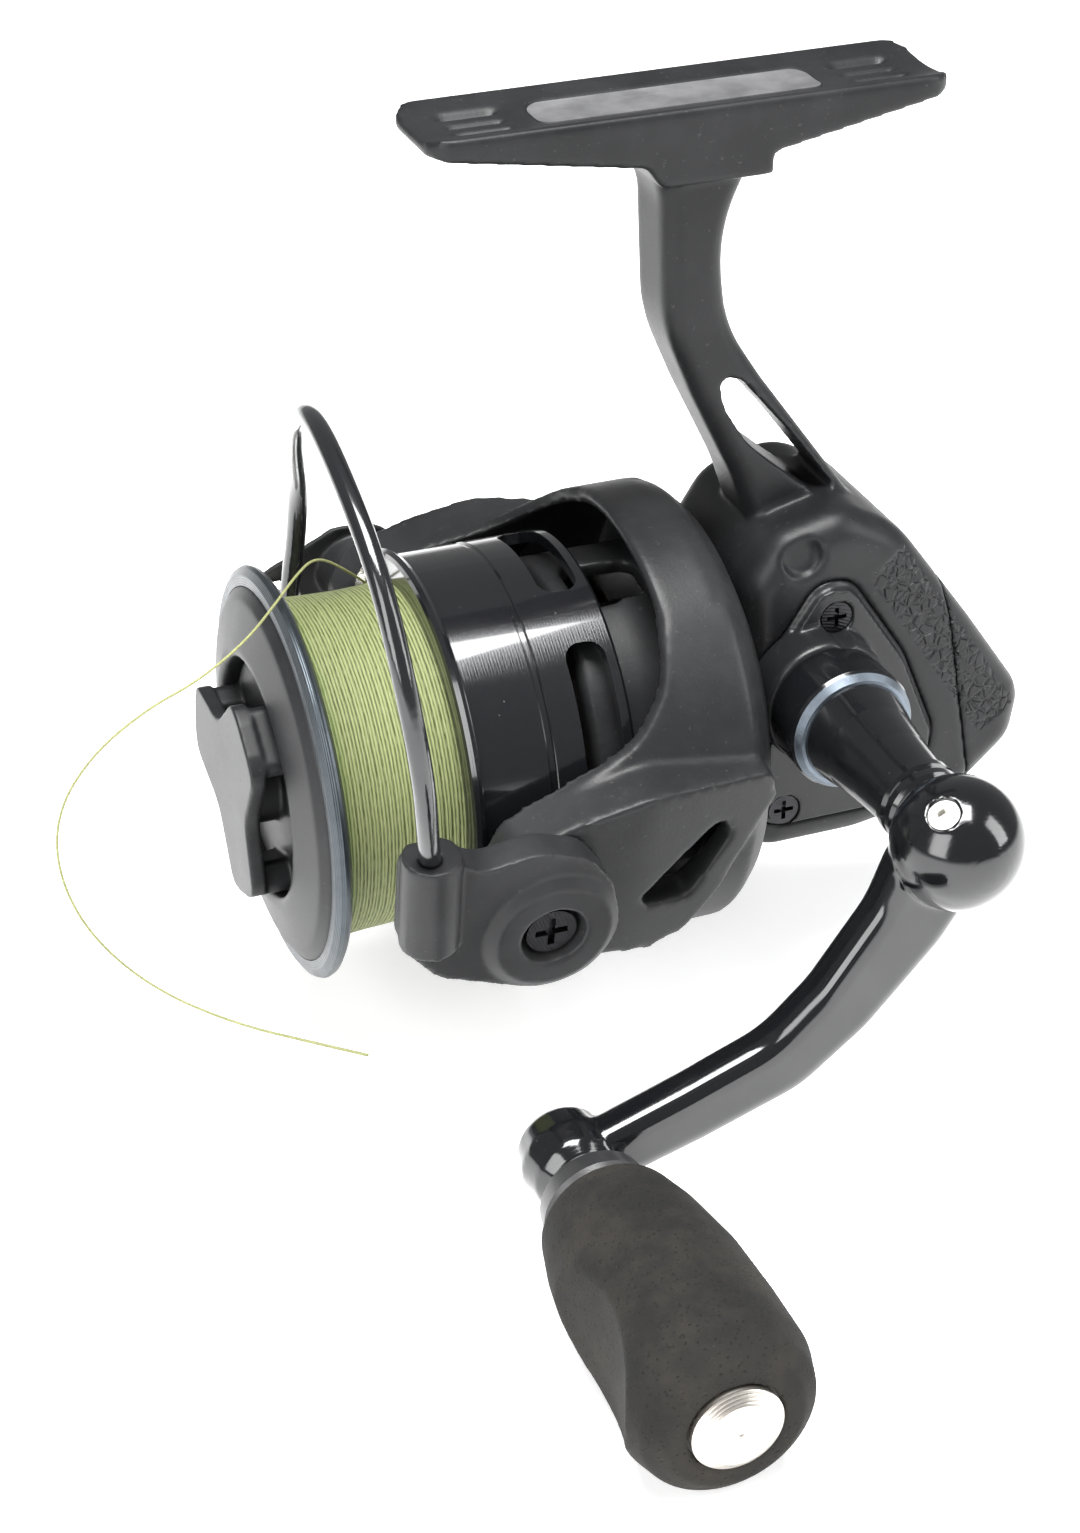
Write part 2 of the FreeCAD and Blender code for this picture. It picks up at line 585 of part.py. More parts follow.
def handle_set_screw():
    """Short screw across the hub, with a hexagonal socket."""
    foot_ = HUB_CENTRE + SET_SCREW_AIM * 5.2
    screw = Part.makeCylinder(SET_SCREW_R, 1.6, foot_, SET_SCREW_AIM)
    side = SET_SCREW_AIM.cross(V(0, 1, 0)).normalize()
    across = SET_SCREW_AIM.cross(side)
    points = []
    for i in range(6):
        turn = math.radians(60 * i)
        points.append(foot_ + SET_SCREW_AIM * 0.7 + side * (0.85 * math.cos(turn))
                      + across * (0.85 * math.sin(turn)))
    socket = Part.Face(Part.makePolygon(points + [points[0]])).extrude(SET_SCREW_AIM * 3)
    return screw.cut(socket)


def knob_shaft():
    shaft = cyl_y(KNOB_END + 4.2, HUB_Y - 1.2, 2.0, KNOB_X, KNOB_Z)
    flange = cyl_y(HUB_Y - 2.0, HUB_Y - 1.2, 3.4, KNOB_X, KNOB_Z)
    head = cyl_y(KNOB_END + 3.2, KNOB_END + 4.2, 3.0, KNOB_X, KNOB_Z)
    return fuse([shaft, flange, head])


def knob_core():
    """Hard inner sleeve of the knob with its flared collar by the arm."""
    top = HUB_Y - 2.3
    core = about_y([(top, 0.0), (top, 5.2), (top - 1.0, 6.0), (top - 3.4, 6.4), (top - 4.6, 5.6),
                    (top - 4.6, 5.0), (KNOB_END + 1.6, 5.0), (KNOB_END + 1.6, 0.0)], KNOB_X, KNOB_Z)
    core = core.cut(cyl_y(KNOB_END - 1, top + 1, 2.4, KNOB_X, KNOB_Z))
    core = core.cut(cyl_y(top - 3.0, top + 1, 3.9, KNOB_X, KNOB_Z))
    core = core.cut(cyl_y(KNOB_END - 1, KNOB_END + 7.6, 3.9, KNOB_X, KNOB_Z))
    return core


def knob_bushes():
    top = HUB_Y - 2.3
    near = ring_y(top - 3.0, top, 2.0 + RUN, 3.9, KNOB_X, KNOB_Z)
    end = ring_y(KNOB_END + 4.6, KNOB_END + 7.6, 2.0 + RUN, 3.9, KNOB_X, KNOB_Z)
    return Part.makeCompound([near, end])


def foam_grip():
    top = HUB_Y - 6.9
    profile = [(top, 5.0), (top, 6.8), (top - 1.2, 7.7), (top - 6.0, 8.9), (top - 14.0, 10.1),
               (top - 22.0, KNOB_R), (top - 29.0, KNOB_R), (top - 32.4, 9.4), (KNOB_END + 1.0, 7.4),
               (KNOB_END + 1.0, 5.0)]
    grip = about_y(profile, KNOB_X, KNOB_Z)
    # flat scallop worn into the side that faces the spool
    scallop = Part.makeCylinder(26.0, 60.0, V(KNOB_X - 33.6, top - 19.0, KNOB_Z - 40), V(0, 0.0, 1))
    return grip.cut(scallop)


def knob_cap():
    return about_y([(KNOB_END + 1.6, 0.0), (KNOB_END + 1.6, 4.9), (KNOB_END + 0.6, 4.9),
                    (KNOB_END, 4.0), (KNOB_END - 0.3, 3.6), (KNOB_END - 0.1, 0.0)], KNOB_X, KNOB_Z)


# ---- rotor --------------------------------------------------------------------------------
def pinion():
    front = cyl_x(-17.6, 0.0, 4.0)
    points = []
    step = 2 * math.pi / PINION_TEETH
    for i in range(PINION_TEETH):
        for share, radius in ((-0.28, 3.2), (-0.12, PINION_R), (0.12, PINION_R), (0.28, 3.2)):
            angle = (i + share) * step
            points.append(V(-0.2, radius * math.cos(angle), SHAFT_Z + radius * math.sin(angle)))
    toothed = Part.Face(Part.makePolygon(points + [points[0]])).extrude(V(7.9, 0, 0))
    flat = box(-20, -14.4, -5, 5, SHAFT_Z + 3.3, SHAFT_Z + 6)
    both = fuse([front.cut(flat), toothed])
    return both.cut(cyl_x(-30, 20, BORE_R))


def clutch_sleeve():
    return ring_x(-11.0, -5.0, 4.0, 5.7)


def rotor_cup():
    profile = [
        (WEB_FRONT, 0.0), (WEB_FRONT, 12.0), (WEB_FRONT, ROTOR_CYL_R - 0.8),
        (WEB_FRONT + 0.8, ROTOR_CYL_R), (0.9, ROTOR_CYL_R), (0.9, ROTOR_R - RING_WALL),
        (RING_FRONT + 0.6, ROTOR_R - RING_WALL), (RING_FRONT, ROTOR_R - 1.2), (RING_FRONT, ROTOR_R - 0.5),
        (RING_FRONT + 0.5, ROTOR_R), (-1.4, ROTOR_R), (0.6, ROTOR_R - 0.4), (2.6, ROTOR_R - 2.4),
        (ROTOR_REAR, ROTOR_R - 6.2), (ROTOR_REAR, ROTOR_CYL_R - 2.0), (WEB_FRONT + 2.0, ROTOR_CYL_R - 2.0),
        (WEB_FRONT + 2.0, 0.0)]
    return about_shaft(profile)


ARM_SWEEP = [(0.0, 23.0), (RING_FRONT, 23.0), (-9.4, 18.0), (-14.0, 13.2), (-22.0, 10.6),
             (-30.0, 8.0), (PIVOT_X - 5.6, 3.4), (PIVOT_X - 5.6, -3.4), (-29.0, -7.0),
             (-20.0, -9.6), (-13.4, -10.8), (-9.6, -15.0), (RING_FRONT, -22.0), (0.0, -22.0)]
ARM_SWEEP_RADII = [0.0, 2.0, 8.0, 10.0, 20.0, 3.0, 3.0, 3.0, 3.0, 20.0, 4.0, 6.0, 2.0, 0.0]
ARM_OUTLINE = [(PIVOT_X - 5.6, -3.4), (PIVOT_X - 5.6, 3.4), (-30.0, 8.0), (-22.0, 10.6), (-14.0, 12.0),
               (1.0, 10.0), (2.0, 6.0), (-1.6, 0.0), (-4.6, -5.6), (-8.6, -9.8), (-13.4, -10.8),
               (-20.0, -9.6), (-29.0, -7.0)]
ARM_OUTLINE_RADII = [3.0, 3.0, 3.0, 20.0, 12.0, 2.0, 2.0, 6.0, 6.0, 3.0, 3.0, 20.0, 3.0]
ARM_WINDOW = [(-16.4, -3.6), (-5.0, 5.6), (-3.6, 2.4), (-8.6, -4.8)]


def casting_tube(radius):
    return Part.makeCylinder(radius, 60.0, V(-50.0, 0, 0), V(1, 0, 0))


def arm_sweep():
    """Thin wall of the ring, carried forward along both arms."""
    wall = casting_tube(ROTOR_R).cut(casting_tube(ROTOR_R - RING_WALL))
    return wall.common(plate(ARM_SWEEP, -40.0, 40.0, ARM_SWEEP_RADII))


def rotor_arm_shape(sign):
    """One rotor arm in the rotor's own frame, thick at the pivot and running down to the ring."""
    front = PIVOT_X - 5.6
    side = [(front, 15.0), (front, ARM_OUTER - 0.8), (front + 1.6, ARM_OUTER), (-15.0, ARM_OUTER),
            (2.0, ROTOR_R + 0.4), (2.0, 15.0)]
    low, high = (15.0, ARM_OUTER + 1) if sign > 0 else mirrored_arm(15.0, ARM_OUTER + 1)
    block = plate(ARM_OUTLINE, low, high, ARM_OUTLINE_RADII)
    profile = slab([(x, sign * a) for x, a in side], -20.0, 20.0, [0.0, 0.6, 2.0, 20.0, 0.0, 0.0])
    return block.common(profile).cut(casting_tube(CASTING_R))


def cap_relief():
    """Recess in the far rotor arm that the cap on the bail wire swings through as the bail opens."""
    orbit = math.hypot(ROLLER_X - PIVOT_X, ROLLER_Y)
    reach = CAP_R + CAP_ROOM
    face = -CAP_INNER + CAP_ROOM
    outside = -ARM_OUTER - 1.0
    ring = about_z([(outside, orbit - reach), (outside, orbit + reach), (face, orbit + reach),
                    (face, orbit - reach)], PIVOT_X, 0.0)
    span = orbit + reach + 1.0
    swept_side = box(PIVOT_X - span, PIVOT_X + span, -span, -RELIEF_EDGE, outside - 1.0, face + 1.0)
    return ring.common(swept_side)


def rotor():
    near = rotor_arm_shape(1).cut(plate(ARM_WINDOW, 12.0, ARM_OUTER + 1, 1.2))
    # pocket that the bail spring lies in
    near = near.cut(box(-23.0, -14.0, 1.1, 4.1, 12.0, ARM_INNER))
    sweep = arm_sweep().cut(plate(ARM_WINDOW, 12.0, ARM_OUTER + 1, 1.2))
    sweep = sweep.cut(box(-23.0, -14.0, 1.1, 4.1, 12.0, ARM_INNER))
    far = rotor_arm_shape(-1).cut(cap_relief())
    arms = rotor_place(fuse([near, far, sweep]))
    cup = rotor_cup().cut(rotor_place(plate(ARM_WINDOW, ROTOR_R - 4.0, ARM_OUTER + 1, 1.2)))
    shape = fuse([cup, arms])
    shape = shape.cut(cyl_x(-20, -10, 4.0 + 0.01))
    hole = Part.makeCylinder(1.7, 4 * ROTOR_R, V(PIVOT_X, 0, -2 * ROTOR_R), V(0, 0, 1))
    shape = shape.cut(rotor_place(hole))
    ports = []
    for i in range(4):
        a = math.radians(45 + 90 * i)
        ports.append(cyl_x(-20, -10, 3.0, 11.6 * math.sin(a), SHAFT_Z + 11.6 * math.cos(a)))
    # windows in the side of the inner cylinder
    for i in range(3):
        port = plate([(-13.6, -4.2), (-5.0, -3.0), (-5.0, 3.0), (-13.6, 4.2)], 15.0, 22.0, 1.6)
        port.translate(V(0, 0, SHAFT_Z))
        port.rotate(V(0, 0, SHAFT_Z), V(1, 0, 0), CYL_WINDOW_ANGLE + 120.0 * i)
        ports.append(port)
    return shape.cut(Part.makeCompound(ports))


def rotor_nut():
    points = [V(WEB_FRONT, 6.4 * math.cos(math.radians(60 * i)), SHAFT_Z + 6.4 * math.sin(math.radians(60 * i)))
              for i in range(6)]
    nut = Part.Face(Part.makePolygon(points + [points[0]])).extrude(V(-2.6, 0, 0))
    return nut.cut(cyl_x(-30, 0, 4.0))


def nut_lock_plate():
    return ring_x(LOCK_FRONT, LOCK_FRONT + 0.6, 3.0, 6.0)


def balance_weight():
    piece = plate([(-6.4, -3.4), (-1.2, -3.4), (-1.2, 3.4), (-6.4, 3.4)], -ROTOR_CYL_R + 0.8,
                  -ROTOR_CYL_R + 4.8, 0.8)
    return rotor_place(piece).common(cyl_x(-20, 2, ROTOR_CYL_R - 2.0))


def pivot_screws():
    return Part.makeCompound([pivot_screw(1), pivot_screw(-1)])


def pivot_screw(sign):
    z_face = BAIL_INNER + BAIL_ARM_THICK if sign > 0 else BAIL_INNER + 3.2
    axis = V(0, 0, sign)
    shank = Part.makeCylinder(1.7, z_face - 1.0 - ARM_INNER + 0.2, V(PIVOT_X, 0, sign * (ARM_INNER - 0.2)), axis)
    head = screw_head(V(PIVOT_X, 0, sign * (z_face - 1.1)), axis, 2.9, 1.1, 0.8)
    return rotor_place(fuse([shank, head]))


def bail_spring():
    """Compression spring along the near rotor arm, shown as one coil at its closed length."""
    helix = Part.makeHelix(1.1, 8.0, 1.1)
    helix.rotate(V(0, 0, 0), V(0, 1, 0), 90)
    helix.translate(V(-22.5, 2.6, ARM_INNER - 1.32))
    start = helix.Edges[0].valueAt(helix.Edges[0].FirstParameter)
    tangent = helix.Edges[0].tangentAt(helix.Edges[0].FirstParameter)
    circle = Part.Wire(Part.makeCircle(0.22, start, tangent))
    return rotor_place(Part.Wire(helix.Edges).makePipeShell([circle], True, True))


# ---- bail -----------------------------------------------------------------------------------
SOCKET_X = -41.2
SOCKET_A = BAIL_INNER + 2.7
SOCKET_R = 3.3
BAIL_ARM = [(-19.6, -1.2), (-20.4, 4.8), (-23.4, 9.4), (-29.4, 11.8), (-35.6, 10.6), (-38.6, 12.6),
            (-44.2, 12.6), (-44.4, 1.6), (-40.4, -3.4), (-30.0, -7.8), (-22.6, -7.6)]


def near_bail_arm():
    """Broad wedge with a round boss at the pivot and a round post that holds the wire."""
    z0, z1 = BAIL_INNER, BAIL_INNER + BAIL_ARM_THICK
    arm = plate(BAIL_ARM, z0, z1, [4.0, 5.0, 5.0, 8.0, 4.0, 3.0, 1.0, 3.0, 5.0, 8.0, 5.0])
    boss = Part.makeCone(8.0, 6.6, 1.0, V(PIVOT_X, 0, z1), V(0, 0, 1))
    post = Part.makeCylinder(SOCKET_R, 12.4, V(SOCKET_X, 1.2, SOCKET_A), V(0, 1, 0))
    post = post.common(box(-60, 0, -20, 40, z0, z1 + 10))
    top = z1 + 1.0
    seat = about_z([(z0 - 1, 0.0), (z0 - 1, 1.7 + RUN), (z1 - 1.4, 1.7 + RUN), (z1 - 1.4, 3.2),
                    (top + 0.2, 3.9), (top + 0.2, 0.0)], PIVOT_X, 0.0)
    return rotor_place(fuse([arm, boss, post]).cut(seat).cut(wire_path_solid(WIRE_D / 2)))


# Bail wire, from the near socket over the spool to the far roller, as (ahead of pivot, up, along arm)
WIRE_POINTS = [(13.3, 10.0, 32.2), (14.6, 16.0, 33.9), (15.8, 25.5, 34.8), (16.8, 35.0, 32.0),
               (17.4, 44.0, 24.6), (17.5, 48.4, 13.0), (17.0, 48.2, 1.2), (15.6, 41.0, -9.4),
               (13.0, 30.5, -18.2), (10.4, 19.6, -25.6), (9.9, 10.0, -28.2), (10.2, 2.0, -29.2),
               (10.2, -2.0, -29.3)]


def wire_path_solid(radius):
    grow = ARM_INNER / 26.9
    places = [V(PIVOT_X - u, v, a * grow) for u, v, a in WIRE_POINTS]
    curve = Part.BSplineCurve()
    curve.interpolate(places)
    edge = curve.toShape()
    start = edge.valueAt(edge.FirstParameter)
    tangent = edge.tangentAt(edge.FirstParameter)
    circle = Part.Wire(Part.makeCircle(radius, start, tangent))
    return Part.Wire([edge]).makePipeShell([circle], True, True)


ROLLER_X = PIVOT_X - 10.2
ROLLER_Y = -3.0
CAP_R = 2.9                # cap on the wire's far end
CAP_INNER = 27.8           # the cap's inner face, out from the shaft
CAP_ROOM = 0.5             # room left around the cap as it swings
RELIEF_EDGE = 2.5          # where the recess for it starts, below the pivot


def bail_wire():
    wire = wire_path_solid(WIRE_D / 2)
    cap = about_z([(-30.6, 0.0), (-30.6, 2.6), (-29.4, CAP_R), (-28.2, 2.3), (-CAP_INNER, 0.0)],
                  ROLLER_X, ROLLER_Y)
    return rotor_place(fuse([wire, cap]))


def far_bail_arm():
    face = BAIL_INNER
    outer = 36.9
    lever = plate([(ROLLER_X - 4.2, ROLLER_Y - 2.0), (ROLLER_X - 2.0, ROLLER_Y + 4.0), (-30.0, 6.4),
                   (-23.4, 5.6), (-21.4, 0.0), (-23.6, -5.4), (-31.0, -6.2), (ROLLER_X - 2.0, ROLLER_Y - 4.2)],
                  -outer + 1.2, -ROLLER_LENGTH - 30.7 - 0.1 - 0.2, [2.5, 3.0, 4.0, 4.0, 4.0, 4.0, 6.0, 2.5])
    boss = about_z([(-face, 0.0), (-face, 4.6), (-35.0, 5.0), (-35.0, 0.0)], PIVOT_X, 0.0)
    arm = fuse([lever, boss])
    step = -face - 1.9
    hole = about_z([(-face + 1, 0.0), (-face + 1, 1.7 + RUN), (step, 1.7 + RUN), (step, 3.2),
                    (-38, 3.2), (-38, 0.0)], PIVOT_X, 0.0)
    screw_hole = about_z([(-40, 0.0), (-40, 1.2), (-30, 1.2), (-30, 0.0)], ROLLER_X, ROLLER_Y)
    return rotor_place(arm.cut(hole).cut(screw_hole))


def roller_screw():
    shank = Part.makeCylinder(1.2, 5.2, V(ROLLER_X, ROLLER_Y, -30.6), V(0, 0, -1))
    head = screw_head(V(ROLLER_X, ROLLER_Y, -35.7), V(0, 0, -1), 2.1, 1.0, 0.6)
    return rotor_place(fuse([shank, head]))


def line_roller():
    z0 = -30.7 - 0.1
    w = ROLLER_LENGTH - 0.2
    roller = about_z([(z0, 1.9), (z0, ROLLER_R), (z0 - 0.8, ROLLER_R - 0.6), (z0 - w / 2, ROLLER_R - 1.0),
                      (z0 - w + 0.8, ROLLER_R - 0.6), (z0 - w, ROLLER_R), (z0 - w, 1.9)], ROLLER_X, ROLLER_Y)
    return rotor_place(roller)


def roller_bush():
    z0 = -30.7 - 0.1
    w = ROLLER_LENGTH - 0.2
    return rotor_place(about_z([(z0, 1.2 + RUN), (z0, 1.9), (z0 - w, 1.9), (z0 - w, 1.2 + RUN)],
                               ROLLER_X, ROLLER_Y))


# ---- main shaft, slider and spool ---------------------------------------------------------
SHAFT_FRONT = -52.4
SHAFT_REAR = 19.0
SEAT_X = -34.0
WASHER_THICK = 0.5
KNOB_BASE = -47.0


def main_shaft():
    shaft = cyl_x(SHAFT_FRONT, SHAFT_REAR, SHAFT_R)
    flat = box(SHAFT_FRONT - 1, -40.0, -5, 5, SHAFT_Z + 1.6, SHAFT_Z + 5)
    return shaft.cut(flat)


def shaft_slider():
    block = box(15.0, 20.6, -4.0, 4.0, RAIL_Z - 2.0, SHAFT_Z + 2.2)
    block = block.cut(cyl_x(10, SHAFT_REAR, SHAFT_R)).cut(cyl_x(10, 30, RAIL_R + RUN, 0.0, RAIL_Z))
    slot = box(16.2, 19.4, -4.5, -2.6, SHAFT_Z - 9.6, SHAFT_Z - 2.4)
    return block.cut(slot).cut(cyl_x(19, 30, 1.5))


def slider_screw():
    return fuse([cyl_x(SHAFT_REAR, 20.6, 1.5), screw_head(V(20.6, 0, SHAFT_Z), V(1, 0, 0), 2.1, 1.0, 0.6)])


def spool_sleeve():
    """Thin collar fixed on the shaft; it still clears the rotor nut at the end of the stroke."""
    return ring_x(SEAT_X + WASHER_THICK, LOCK_FRONT - STROKE_BACK - GAP, SHAFT_R, 6.4)


def spool_washers():
    return ring_x(SEAT_X + RUN, SEAT_X + WASHER_THICK, SHAFT_R, 6.0)


def spool_lip():
    lip = about_shaft([(LINE_FRONT, 10.8), (LINE_FRONT, RIM_R - 0.9), (LINE_FRONT - 0.5, RIM_R - 0.2),
                       (LINE_FRONT - 1.0, RIM_R), (LINE_FRONT - 1.5, RIM_R - 0.2), (SPOOL_FRONT, RIM_R - 1.0),
                       (SPOOL_FRONT, CONE_R), (-47.5, CONE_R), (-47.5, 10.8)])
    return lip


def spool_cone():
    return about_shaft([(-47.5, 13.9), (-47.5, CONE_R), (SPOOL_FRONT, CONE_R), (-49.6, CONE_R - 1.4), (-50.9, 14.9),
                        (-50.7, 14.1), (-50.2, 13.9)])


def spool_body():
    rear_flange = LINE_REAR
    profile = [
        (LINE_FRONT, 10.8), (LINE_FRONT, ARBOR_R), (rear_flange, ARBOR_R), (rear_flange, SKIRT_R + 0.1),
        (rear_flange + 0.2, SKIRT_R + 0.6), (rear_flange + 0.7, SKIRT_R + 0.9), (rear_flange + 1.2, SKIRT_R + 0.6),
        (rear_flange + 1.5, SKIRT_R), (-23.0, SKIRT_R), (-22.8, SKIRT_R - 0.25), (-22.2, SKIRT_R - 0.25),
        (-22.0, SKIRT_R), (SKIRT_REAR - 0.4, SKIRT_R), (SKIRT_REAR, SKIRT_R - 0.4),
        (SKIRT_REAR, SKIRT_R - SKIRT_WALL), (rear_flange + 2.2, SKIRT_R - SKIRT_WALL),
        (rear_flange + 1.4, 15.2), (-36.4, 15.2), (-36.4, 6.8), (SEAT_X, 6.8), (SEAT_X, BORE_R),
        (-40.0, BORE_R), (-40.0, 10.8)]
    spool = about_shaft(profile)
    cuts = []
    reach = SKIRT_R * math.sin(math.radians(WINDOW_SPAN / 2))
    for i in range(6):
        angle = 60.0 * i + WINDOW_ANGLE
        slot = plate([(WINDOW_FRONT, -reach), (WINDOW_REAR, -reach), (WINDOW_REAR, reach), (WINDOW_FRONT, reach)],
                     0.7 * SKIRT_R, SKIRT_R + 3.0, 1.9)
        slot.translate(V(0, 0, SHAFT_Z))
        slot.rotate(V(0, 0, SHAFT_Z), V(1, 0, 0), angle)
        cuts.append(slot)
    for i in range(6):
        a = math.radians(60 * i)
        cuts.append(cyl_x(-41, -35, 1.3, 8.8 * math.sin(a), SHAFT_Z + 8.8 * math.cos(a)))
    return spool.cut(Part.makeCompound(cuts))


def wound_line():
    return about_shaft([(LINE_FRONT, ARBOR_R), (LINE_FRONT, LINE_R), (LINE_FRONT + 1.0, LINE_R + 0.25),
                        (-42.0, LINE_R), (-38.0, LINE_R - 0.15), (-34.0, LINE_R), (LINE_REAR, LINE_R + 0.2),
                        (LINE_REAR, ARBOR_R)])


def line_clip():
    clip = plate([(-29.6, -1.6), (-25.4, -1.6), (-25.4, 1.6), (-29.6, 1.6)], SKIRT_R, SKIRT_R + 0.9, 1.2)
    clip.translate(V(0, 0, SHAFT_Z))
    clip.rotate(V(0, 0, SHAFT_Z), V(1, 0, 0), -60)
    return clip.fuse(cyl_clip_stem()).cut(cyl_x(-40, -20, SKIRT_R))


def cyl_clip_stem():
    stem_ = Part.makeCylinder(1.0, 0.9, V(-27.5, 0, SHAFT_Z + SKIRT_R - 0.2), V(0, 0, 1))
    stem_.rotate(V(0, 0, SHAFT_Z), V(1, 0, 0), -60)
    return stem_


def click_ring():
    return ring_x(-36.4, -35.4, 7.4, 12.6)


def drag_discs(first, count, step, thick, r_in, r_out):
    solids = [ring_x(first + step * i, first + step * i + thick, r_in, r_out) for i in range(count)]
    return Part.makeCompound(solids)


def drag_felt_washers():
    return drag_discs(-41.0, 3, -1.8, 1.0, 2.6, 10.4)


def drag_metal_washers():
    return drag_discs(-41.8, 3, -1.8, 0.8, 2.6, 10.4)


def drag_retainer():
    ring = ring_x(-45.9, -45.4, 9.2, 10.8)
    return ring.cut(box(-47, -44, -1.5, 1.5, SHAFT_Z + 5, SHAFT_Z + 15))


# ---- drag knob ------------------------------------------------------------------------------
KNOB_PLATE_FRONT = -54.2


KNOB_LEG_ANGLE = 10.0
LOBE_TIP = 14.0
LOBE_WAIST = 7.2


def drag_knob():
    """Three legs that carry a three-lobed front, with the nut's hub standing inside them."""
    base = ring_x(KNOB_BASE - 2.0, KNOB_BASE - 0.8, 5.0, 13.5)
    hub = cyl_x(-52.9, KNOB_BASE - 0.8, 5.2)
    outline = []
    radii = []
    pieces = []
    for i in range(3):
        middle = KNOB_LEG_ANGLE + 120.0 * i
        for turn, reach, radius in ((-20.0, LOBE_TIP, 2.6), (20.0, LOBE_TIP, 2.6), (60.0, LOBE_WAIST, 5.0)):
            angle = math.radians(middle + turn)
            outline.append(V(KNOB_PLATE_FRONT, reach * math.cos(angle), SHAFT_Z + reach * math.sin(angle)))
            radii.append(radius)
        leg = Part.Face(arc_wire([V(-53.0, 9.2, -3.4), V(-53.0, 9.2, 3.4), V(-53.0, 12.9, 4.4),
                                  V(-53.0, 12.9, -4.4)], 1.1)).extrude(V(KNOB_BASE - 0.9 + 53.0, 0, 0))
        leg.translate(V(0, 0, SHAFT_Z))
        leg.rotate(V(0, 0, SHAFT_Z), V(1, 0, 0), middle)
        pieces.append(leg)
    front = Part.Face(arc_wire(outline, radii)).extrude(V(1.8, 0, 0))
    front = front.common(cyl_x(-60, -50, 13.3))
    knob = fuse([base, hub, front] + pieces)
    return knob.cut(cyl_x(SHAFT_FRONT - GAP, -40, 3.5))


def knob_nut():
    return ring_x(-51.4, KNOB_BASE - 0.4, BORE_R, 3.5)


# ---- loose end of the line ------------------------------------------------------------------
TAIL_ROUTE = [
    (-33.6, 10.0, -56.7), (-37.5, 7.0, -52.3), (-41.5, 3.2, -48.6), (-45.0, -1.2, -48.1),
    (-48.8, -5.6, -48.9), (-53.4, -9.8, -50.4), (-59.6, -12.8, -52.4), (-65.4, -11.8, -55.3),
    (-71.4, -10.6, -60.3), (-75.5, -9.9, -66.8), (-76.3, -10.6, -74.0), (-73.7, -11.9, -82.1),
    (-67.5, -13.6, -89.7), (-59.7, -18.4, -93.3), (-51.6, -22.9, -95.1), (-46.5, -25.7, -96.2)]


def line_tail():
    """Straight runs joined by tangent arcs, swept with the line's section."""
    points = [V(*p) for p in TAIL_ROUTE]
    edges = []
    last = points[0]
    radii = []
    for i in range(1, len(points) - 1):
        before, here, after = points[i - 1], points[i], points[i + 1]
        a = (before - here)
        b = (after - here)
        shorter = min(a.Length, b.Length)
        turn = math.pi - a.getAngle(b)
        radius = 0.45 * shorter / math.tan(turn / 2)
        radii.append(round(radius, 1))
        a.normalize()
        b.normalize()
        cut = 0.45 * shorter
        bis = (a + b).normalize()
        centre = here + bis * (radius / math.cos(turn / 2))
        edges.append(Part.LineSegment(last, here + a * cut).toShape())
        edges.append(Part.Arc(here + a * cut, centre - bis * radius, here + b * cut).toShape())
        last = here + b * cut
    edges.append(Part.LineSegment(last, points[-1]).toShape())
    path = Part.Wire(edges)
    circle = Part.Wire(Part.makeCircle(TAIL_D / 2, points[0], points[1] - points[0]))
    tube = path.makePipeShell([circle], True, False)
    print("line tail arc radii", radii)
    print("line tail length", round(path.Length, 2), "volume", round(tube.Volume, 3),
          "section x length", round(math.pi * TAIL_D ** 2 / 4 * path.Length, 3))
    return tube


# ---- all nodes ------------------------------------------------------------------------------
NODES = {
    "body_stem_and_foot": housing_body,
    "foot_plate": foot_plate,
    "side_cover": side_cover,
    "side_cover_screws": cover_screws,
    "rear_cover": rear_cover,
    "rear_cover_screw": rear_screw,
    "gear_bearings": gear_bearings,
    "pinion_bearing": pinion_bearing,
    "pinion_bush": pinion_bush,
    "clutch_housing": clutch_housing,
    "clutch_screws": clutch_screws,
    "clutch_rollers": clutch_rollers,
    "far_axle_cap": far_axle_cap,
    "oscillation_rail": oscillation_rail,
    "drive_gear": drive_gear,
    "gear_shaft": gear_shaft,
    "oscillation_drive_gear": osc_drive_gear,
    "handle_collar": handle_collar,
    "handle_collar_ring": collar_ring,
    "handle_neck": handle_neck,
    "handle_arm": handle_arm,
    "handle_set_screw": handle_set_screw,
    "knob_shaft": knob_shaft,
    "knob_core": knob_core,
    "knob_bushes": knob_bushes,
    "foam_grip": foam_grip,
    "knob_cap": knob_cap,
    "oscillation_gear": oscillation_gear,
    "pinion": pinion,
    "clutch_sleeve": clutch_sleeve,
    "rotor": rotor,
    "rotor_nut": rotor_nut,
    "nut_lock_plate": nut_lock_plate,
    "balance_weight": balance_weight,
    "bail_pivot_screws": pivot_screws,
    "bail_spring": bail_spring,
    "bail_arm_near": near_bail_arm,
    "bail_arm_far": far_bail_arm,
    "bail_wire": bail_wire,
    "roller_screw": roller_screw,
    "line_roller": line_roller,
    "roller_bush": roller_bush,
    "main_shaft": main_shaft,
    "shaft_slider": shaft_slider,
    "slider_screw": slider_screw,
    "spool_sleeve": spool_sleeve,
    "spool_washer": spool_washers,
    "spool_body": spool_body,
    "spool_lip": spool_lip,
    "spool_cone": spool_cone,
    "wound_line": wound_line,
    "line_clip": line_clip,
    "click_ring": click_ring,
    "drag_felt_washers": drag_felt_washers,
    "drag_metal_washers": drag_metal_washers,
    "drag_retainer": drag_retainer,
    "drag_knob": drag_knob,
    "drag_knob_nut": knob_nut,
    "line_tail": line_tail,
}

